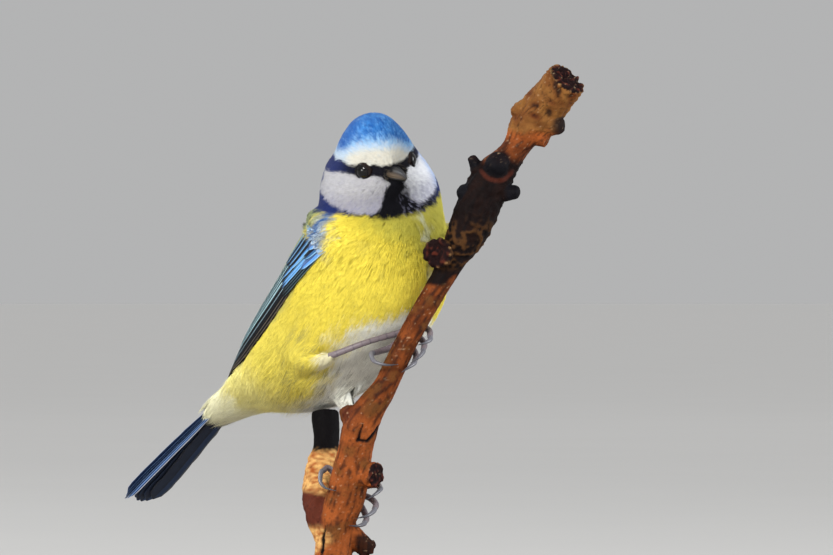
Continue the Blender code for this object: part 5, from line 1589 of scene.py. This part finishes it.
def bark_looks(points, normals):
    """Relief in millimetres and colour of the bark."""
    knots = length_knots(STEM_POINTS)
    route = np.array(STEM_POINTS)
    from_stem, share = nearest_on(points, STEM_POINTS)
    axis = np.stack([np.interp(share, knots, route[:, i]) for i in range(3)], 1)
    grain = points - axis + UP * (share * 26.0)[:, None]
    from_branch, _ = nearest_on(points, BRANCH_POINTS)
    height = points[:, 2]
    broad = noise_at(points, 3.4, 11.0)
    fine = noise_at(points, 0.9, 23.0)
    streak = noise_at(grain, 0.8, 37.0)
    top = ease(82.0, 86.0, height)
    knobby = ease(84.0, 88.0, height) * ease(113.0, 109.0, height) + ease(115.0, 118.0, height)
    folds = 1.0 - 2.0 * np.abs(noise_at(points, 2.4, 91.0))
    lenticels = np.clip(noise_at(points * np.array([0.7, 0.7, 1.6]), 0.62, 61.0) - 0.46, 0.0, 0.5) * 2.2
    specks = np.clip(noise_at(points, 0.55, 83.0) - 0.40, 0.0, 0.4) * 2.5 * (1.0 - 0.6 * top)
    crack = np.clip(1.0 - np.abs(noise_at(grain, 1.3, 71.0)) / 0.06, 0.0, 1.0)
    crack = crack * ease(-0.1, 0.3, noise_at(points, 4.0, 77.0)) * mix(0.6, 1.0, top)
    split = np.maximum(on_front(points, normals, SPLIT, 0.5), on_front(points, normals, LONG_CRACK, 0.6))
    relief = 0.14 * broad + 0.06 * fine + 0.07 * streak - 0.16 * crack - 0.5 * split
    relief = relief + knobby * (0.34 * folds + 0.14 * fine)
    scar = near_point(points, (-0.6, -19.0, 51.0), 3.0)
    relief = relief + scar * (0.35 * folds + 0.2 * fine)

    browner = 0.34 + 0.60 * ease(46.0, 62.0, height) - 0.35 * ease(112.0, 115.0, height)
    edge = height + 1.4 * broad - 0.25 * (points[:, 0] - 21.0)
    # Black band from about 81 to 111 mm high: dark bark, with painted shadow over its lowest few millimetres,
    # where it ends in a sharp edge; lit paints golden highlights on the folds within it.
    black = ease(80.8, 82.4, edge) * ease(111.8, 109.2, height + 1.4 * broad)
    lit = ease(0.45, 0.95, folds + 0.6 * fine) * ease(99.0, 92.0, height) * ease(84.0, 87.0, height) * black
    golden = shade(BARK_GOLD, BARK_BROWN, 0.5 + 0.9 * broad - 0.4 * folds)
    golden = shade(golden, BARK_DARK, 0.85 * ease(0.1, -0.5, folds + 0.3 * fine))
    colours = paint(
        shade(BARK_ORANGE, BARK_BROWN, browner + 0.8 * broad + 0.4 * streak),
        (BARK_DARK, 0.55 * ease(0.15, 0.5, streak + 0.3 * fine)),
        (BARK_GOLD, 0.35 * ease(0.1, 0.6, broad - 0.3 * fine) * (1.0 - top)),
        (BARK_DARK, 0.45 * ease(0.2, 0.6, fine - 0.2 * streak)),
        (mix(BARK_DARK, BARK_RED, 0.5), 0.8 * scar),
        (BARK_BLACK, 0.96 * black),
        (mix(BARK_GOLD, BARK_DARK, 0.45), 0.5 * lit),
        (golden, ease(115.4, 118.4, height + 1.4 * broad)))
    for bud, radius in BUDS:
        on_bud = ease(radius * 1.25, radius * 0.8, np.linalg.norm(points - np.array(KNOBS[bud][1]), axis=1))
        colours = shade(colours, BUD_BLACK, 0.95 * on_bud)
        relief = relief * (1.0 - 0.5 * on_bud)
    ring = np.linalg.norm(points - np.array(KNOBS[1][1]), axis=1)
    side = ease(1.2, 0.0, from_branch - from_stem - 1.0 + 0.6 * fine) * ease(5.6, 4.6, from_branch)
    relief = relief + side * ease(43.0, 41.0, height) * 0.30 * folds
    wood = paint(
        shade(WOOD_PALE, BARK_ORANGE, 0.35 + 0.9 * noise_at(points * np.array([1.0, 1.0, 2.4]), 1.6, 51.0)),
        # Painted shadow: the side branch is black above about 42 mm, where the bird's shadow falls on it;
        # below that it keeps its pale wood.
        (BARK_BLACK, ease(41.2, 43.0, height + 0.8 * fine)),
        (mix(BARK_RED, BARK_DARK, 0.3),
         ease(33.4, 31.6, height + 1.2 * broad) * ease(23.0, 25.6, height)))
    low_knob = 0.9 * ease(3.6, 2.6, nearest_on(points, KNOBS[8][:2])[0])
    colours = paint(
        colours,
        (BARK_RED, 0.4 * ease(0.8, 0.2, np.abs(ring - 4.3)) * ease(109.0, 107.5, height)),
        (wood, side),
        (BARK_BLACK, low_knob * ease(23.4, 22.0, height) * ease(0.6, 2.2, from_stem - 3.6)))
    for place, out, radius, first, second in cut_faces():
        off = points - place
        rise = off @ out
        away = np.linalg.norm(off - rise[:, None] * out, axis=1)
        near = (np.abs(rise) < 1.3) & (away < radius + 0.9)
        inside = near & (normals @ out > 0.55)
        mottle = np.clip(1.5 * np.maximum(fine, 0.0) - 0.15, 0.0, 1.0)
        face = mix(first, second, (0.8 * mottle)[:, None])
        rim = ease(0.86, 0.98, away / radius + 0.12 * fine) * ease(-0.5, 0.2, broad)
        face = shade(face, CUT_PALE, 0.75 * rim)
        colours = np.where(inside[:, None], face, colours)
        relief = relief + np.where(near, 0.42 * fine + 0.22 * folds, 0.0)
    colours = paint(
        colours,
        (LENTICEL_TAN, 0.45 * np.clip(lenticels, 0.0, 1.0) * (1.0 - black) * (1.0 - side)),
        (BARK_BLACK, 0.7 * np.clip(specks, 0.0, 1.0)),
        (BARK_BLACK, 0.75 * crack + split * 2.0))
    by_foot = np.minimum.reduce([np.linalg.norm(points - np.array(p), axis=1)
                                 for p in ((13.0, -20.0, 67.5), (1.0, -14.5, 32.0))])
    limit = mix(0.16, 0.6, ease(7.0, 11.0, by_foot))
    relief = np.clip(relief, -limit - 0.2, limit) - 0.06
    return relief, colours * (1.0 + 0.18 * fine)[:, None]


# Display stand

def make_lathe(name, profile, centre, around=128):
    """Turned solid about an upright line from heights and radii, with a tint and map."""
    turns = circle(around)
    profile = np.array(profile)
    rings = np.stack([centre[0] + profile[:, 1:] * np.cos(turns), centre[1] + profile[:, 1:] * np.sin(turns),
                      np.broadcast_to(profile[:, :1], (len(profile), around))], -1)
    ends = np.array([[*centre, profile[0, 0]], [*centre, profile[-1, 0]]])
    faces, uvs = tube_net(len(profile), around)
    points = np.concatenate([rings.reshape(-1, 3), ends])
    return face_out(make_mesh(name, points, faces, np.ones((len(points), 3)), uvs))


def make_base():
    profile = [(0.0, BASE_RADIUS - 0.6), (0.35, BASE_RADIUS - 0.15), (0.9, BASE_RADIUS)]
    for angle in np.linspace(0.0, 0.5 * math.pi, 9):
        profile.append((BASE_HEIGHT - 1.3 + 1.3 * math.sin(angle), BASE_RADIUS - 1.3 + 1.3 * math.cos(angle)))
    for radius in (46.2, 45.9, 45.6, 45.3, 40.0, 30.0, 20.0, 10.0, 3.0, 0.8):
        groove = 0.35 if 45.2 < radius < 46.0 else 0.0
        profile.append((BASE_HEIGHT - groove, radius))
    return make_lathe("plinth", profile, (0.0, 0.0))


def make_rod():
    centre = STEM_POINTS[0][:2]
    low = BASE_HEIGHT + 0.02
    high = CUT_END_HEIGHT - 0.35
    profile = [(low, 4.0), (low + 0.9, 4.0), (low + 1.15, 3.75), (low + 1.2, ROD_RADIUS + 0.05),
               (low + 1.25, ROD_RADIUS), (high - 0.3, ROD_RADIUS), (high, ROD_RADIUS - 0.3)]
    return make_lathe("post", profile, centre, 72)


# Materials: the mesh's tint with fine procedural detail over it; the stand has streaks instead

ROUGHNESS_SPREAD = 0.08


class Graph:
    """Shader nodes of a material or a world."""

    def __init__(self, owner):
        owner.use_nodes = True
        self.nodes = owner.node_tree.nodes
        self.links = owner.node_tree.links

    def feed(self, node, inputs):
        """Links or sets the node's inputs."""
        for key, value in inputs.items():
            if isinstance(value, bpy.types.NodeSocket):
                self.links.new(value, node.inputs[key])
            else:
                node.inputs[key].default_value = value

    def add(self, kind, inputs, **settings):
        """Outputs of a new node with these settings and inputs."""
        node = self.nodes.new("ShaderNode" + kind)
        for key, value in settings.items():
            setattr(node, key, value)
        self.feed(node, inputs)
        return node.outputs

    def span(self, value, inputs, interpolation="LINEAR"):
        return self.add("MapRange", {**inputs, "Value": value}, interpolation_type=interpolation)["Result"]

    def scaled(self, colour, share):
        return self.add("VectorMath", {0: colour, "Scale": share}, operation="SCALE")["Vector"]

    def ramp(self, value, low, high, places=(0.0, 1.0)):
        """Colour between low and high by the value."""
        node = self.nodes.new("ShaderNodeValToRGB")
        for element, colour, place in zip(node.color_ramp.elements, (low, high), places):
            element.color = (*colour, 1.0)
            element.position = place
        self.links.new(value, node.inputs["Fac"])
        return node.outputs["Color"]


def tinted_material(name, roughness, detail_size, detail_share, bump, **inputs):
    """Material coloured by the tint, varied and roughened by noise of a given size in millimetres."""
    material = bpy.data.materials.new(name)
    graph = Graph(material)
    shader = graph.nodes["Principled BSDF"]
    place = graph.add("TexCoord", {})["Object"]
    scale = 1.0 / (detail_size * MM)
    grain = graph.add("TexNoise", {"Scale": scale, "Detail": 4.0, "Vector": place})["Fac"]
    strength = graph.span(grain, {"To Min": 1.0 - detail_share, "To Max": 1.0 + detail_share})
    tint = graph.add("Attribute", {}, attribute_name="tint")["Color"]
    rough = graph.span(grain, {"To Min": max(0.02, roughness - ROUGHNESS_SPREAD),
                               "To Max": min(1.0, roughness + ROUGHNESS_SPREAD)})
    graph.feed(shader, {"Base Color": graph.scaled(tint, strength), "Roughness": rough})
    if bump > 0.0:
        relief = graph.add("Bump", {"Strength": 0.6, "Distance": bump * MM, "Height": grain})
        graph.feed(shader, {"Normal": relief["Normal"]})
    graph.feed(shader, {key.replace("_", " "): value for key, value in inputs.items()})
    return material


def streaked(material, stretch, low, high, places=(0.0, 1.0), **noise_inputs):
    """Gives the material streaks of two colours, drawn out along one direction."""
    graph = Graph(material)
    place = graph.add("TexCoord", {})["Object"]
    stretched = graph.add("Mapping", {"Scale": stretch, "Vector": place})["Vector"]
    grain = graph.add("TexNoise", {"Scale": 1.0, "Vector": stretched, **noise_inputs})["Fac"]
    colour = graph.ramp(grain, low, high, places)
    graph.feed(graph.nodes["Principled BSDF"], {"Base Color": colour})
    return material


def wood_material():
    wood = tinted_material("stand wood", 0.34, 4.0, 0.05, 0.02, Coat_Weight=0.25, Coat_Roughness=0.2)
    return streaked(wood, (22.0, 260.0, 120.0), srgb(46, 28, 20), srgb(112, 72, 48), (0.34, 0.66),
                    Detail=7.0, Distortion=0.8)


def steel_material():
    steel = tinted_material("stand steel", 0.3, 0.6, 0.08, 0.004, Metallic=1.0)
    return streaked(steel, (300.0, 300.0, 9000.0), srgb(150, 152, 156), srgb(214, 216, 218))


def give(obj, material):
    obj.data.materials.clear()
    obj.data.materials.append(material)
    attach(obj, "root")
    return obj


# Floor, light and camera, in metres

FLOOR_PALE = srgb(226, 225, 223)
FLOOR_REACH = 40.0
FLOOR_LEVEL = -0.0002
HORIZON_LIGHT = 0.456
SKY_LIGHT = 0.62
CAMERA_PLACE = (0.01583, -1.5, 0.08326)
CAMERA_LENS = 272.3
CAMERA_SENSOR = 36.0
LIGHT_TARGET = (0.01, -0.01, 0.085)
# Place, size, power and colour of each lamp
LIGHTS = {
    "key": ((-0.45, -1.02, 0.58), 0.4, 11.4, (1.0, 0.975, 0.93)),
    "fill": ((1.2, -0.2, 0.36), 0.7, 11.0, (0.96, 0.98, 1.0)),
    "low": ((-0.9, -0.9, 0.13), 0.24, 4.6, (1.0, 0.99, 0.96)),
    "rim": ((-0.9, 0.5, 0.9), 0.5, 4.5, (0.97, 0.99, 1.0)),
}


def make_floor():
    """Wide flat floor, painted darker near the middle, where the lamps fall, and paler further off, where
    their light dies away, so that its far end melts into the surroundings.
    """
    mesh = bpy.data.meshes.new("floor")
    far = FLOOR_REACH
    corners = [(x, y, FLOOR_LEVEL) for x, y in ((-far, -far), (far, -far), (far, far), (-far, far))]
    mesh.from_pydata(corners, [], [(0, 1, 2, 3)])
    floor = link_new("floor", mesh)
    material = bpy.data.materials.new("pale floor")
    graph = Graph(material)
    grain = graph.add("TexNoise", {"Scale": 900.0})["Fac"]
    pale = graph.ramp(grain, FLOOR_PALE * 0.97, FLOOR_PALE)
    place = graph.add("TexCoord", {})["Object"]
    away = graph.add("VectorMath", {0: place}, operation="LENGTH")["Value"]
    # Painted light: the floor grows paler with distance, making up for the lamps' light that falls off there.
    paler = graph.span(away, {"From Min": 0.3, "From Max": 2.2, "To Min": 0.72}, "SMOOTHSTEP")
    shader = graph.nodes["Principled BSDF"]
    graph.feed(shader, {"Base Color": graph.scaled(pale, paler), "Roughness": 0.85})
    floor.data.materials.append(material)


def pale_world():
    """Even pale light from all round, a little dimmer at the horizon, where it meets the floor."""
    world = bpy.data.worlds.new("pale studio")
    graph = Graph(world)
    place = graph.add("TexCoord", {})["Generated"]
    height = graph.add("SeparateXYZ", {"Vector": place})["Z"]
    rise = graph.span(height, {"From Min": 0.06, "From Max": 0.50, "To Min": HORIZON_LIGHT,
                               "To Max": SKY_LIGHT}, "SMOOTHSTEP")
    graph.feed(graph.nodes["Background"], {"Strength": rise, "Color": (0.99, 0.995, 1.0, 1.0)})
    return world


def make_stage():
    scene = bpy.context.scene
    make_floor()
    for name, (place, size, power, colour) in LIGHTS.items():
        data = bpy.data.lights.new(name, "AREA")
        data.shape = "DISK"
        data.size = size
        data.energy = power
        data.color = colour
        light = link_new(name, data)
        light.location = place
        light.rotation_euler = (Vector(LIGHT_TARGET) - Vector(place)).to_track_quat("-Z", "Y").to_euler()
    scene.world = pale_world()
    scene.view_settings.view_transform = "Standard"
    lens = bpy.data.cameras.new("camera")
    lens.lens = CAMERA_LENS
    lens.sensor_fit = "HORIZONTAL"
    lens.sensor_width = CAMERA_SENSOR
    lens.clip_start = 0.05
    lens.clip_end = 20.0
    camera = link_new("camera", lens)
    camera.location = CAMERA_PLACE
    camera.rotation_euler = (math.radians(90.0), 0.0, 0.0)
    scene.camera = camera


def main():
    feather = tinted_material("small feathers", 0.72, 0.5, 0.10, 0.0, Sheen_Weight=0.04,
                              Specular_IOR_Level=0.1)
    vane = tinted_material("stiff feathers", 0.52, 0.25, 0.14, 0.006, Specular_IOR_Level=0.08)
    horn = tinted_material("bill horn", 0.38, 0.5, 0.14, 0.012)
    eye = tinted_material("eye", 0.04, 0.4, 0.10, 0.0, IOR=1.4, Specular_IOR_Level=0.4)
    lid = tinted_material("lid", 0.6, 0.15, 0.2, 0.02, Specular_IOR_Level=0.12)
    scale = tinted_material("leg scales", 0.46, 0.3, 0.16, 0.012)
    claw = tinted_material("claw horn", 0.3, 0.3, 0.12, 0.004)
    bark = tinted_material("bark", 0.68, 0.35, 0.22, 0.13, Specular_IOR_Level=0.06)
    skin = make_skin()
    give(skin, feather)
    for piece in make_coat(skin):
        give(piece, feather)
    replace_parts(skin, "head", "neck", "torso", "thigh_right", "thigh_left")
    for label, side in (("right", 1.0), ("left", -1.0)):
        wing = give(make_wing(label, side), vane)
        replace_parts(wing, "wing_" + label)
        globe = give(make_eye(label, side), eye)
        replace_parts(globe, "eye_" + label)
        give(make_lid(label, side), lid)
        leg, claws = make_leg(label)
        give(leg, scale)
        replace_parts(leg, "tarsus_" + label, "foot_" + label)
        give(claws, claw)
        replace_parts(claws, *[f"claw_{label}_{number}" for number in (1, 2, 3, 4)])
    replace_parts(give(make_tail(), vane), "tail")
    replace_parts(give(make_bill("upper", True), horn), "bill_upper")
    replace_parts(give(make_bill("lower", False), horn), "bill_lower")
    give(make_bristles(), feather)
    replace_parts(give(make_branch(), bark), "branch")
    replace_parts(give(make_base(), wood_material()), "stand_base")
    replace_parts(give(make_rod(), steel_material()), "stand_rod")
    make_stage()


main()
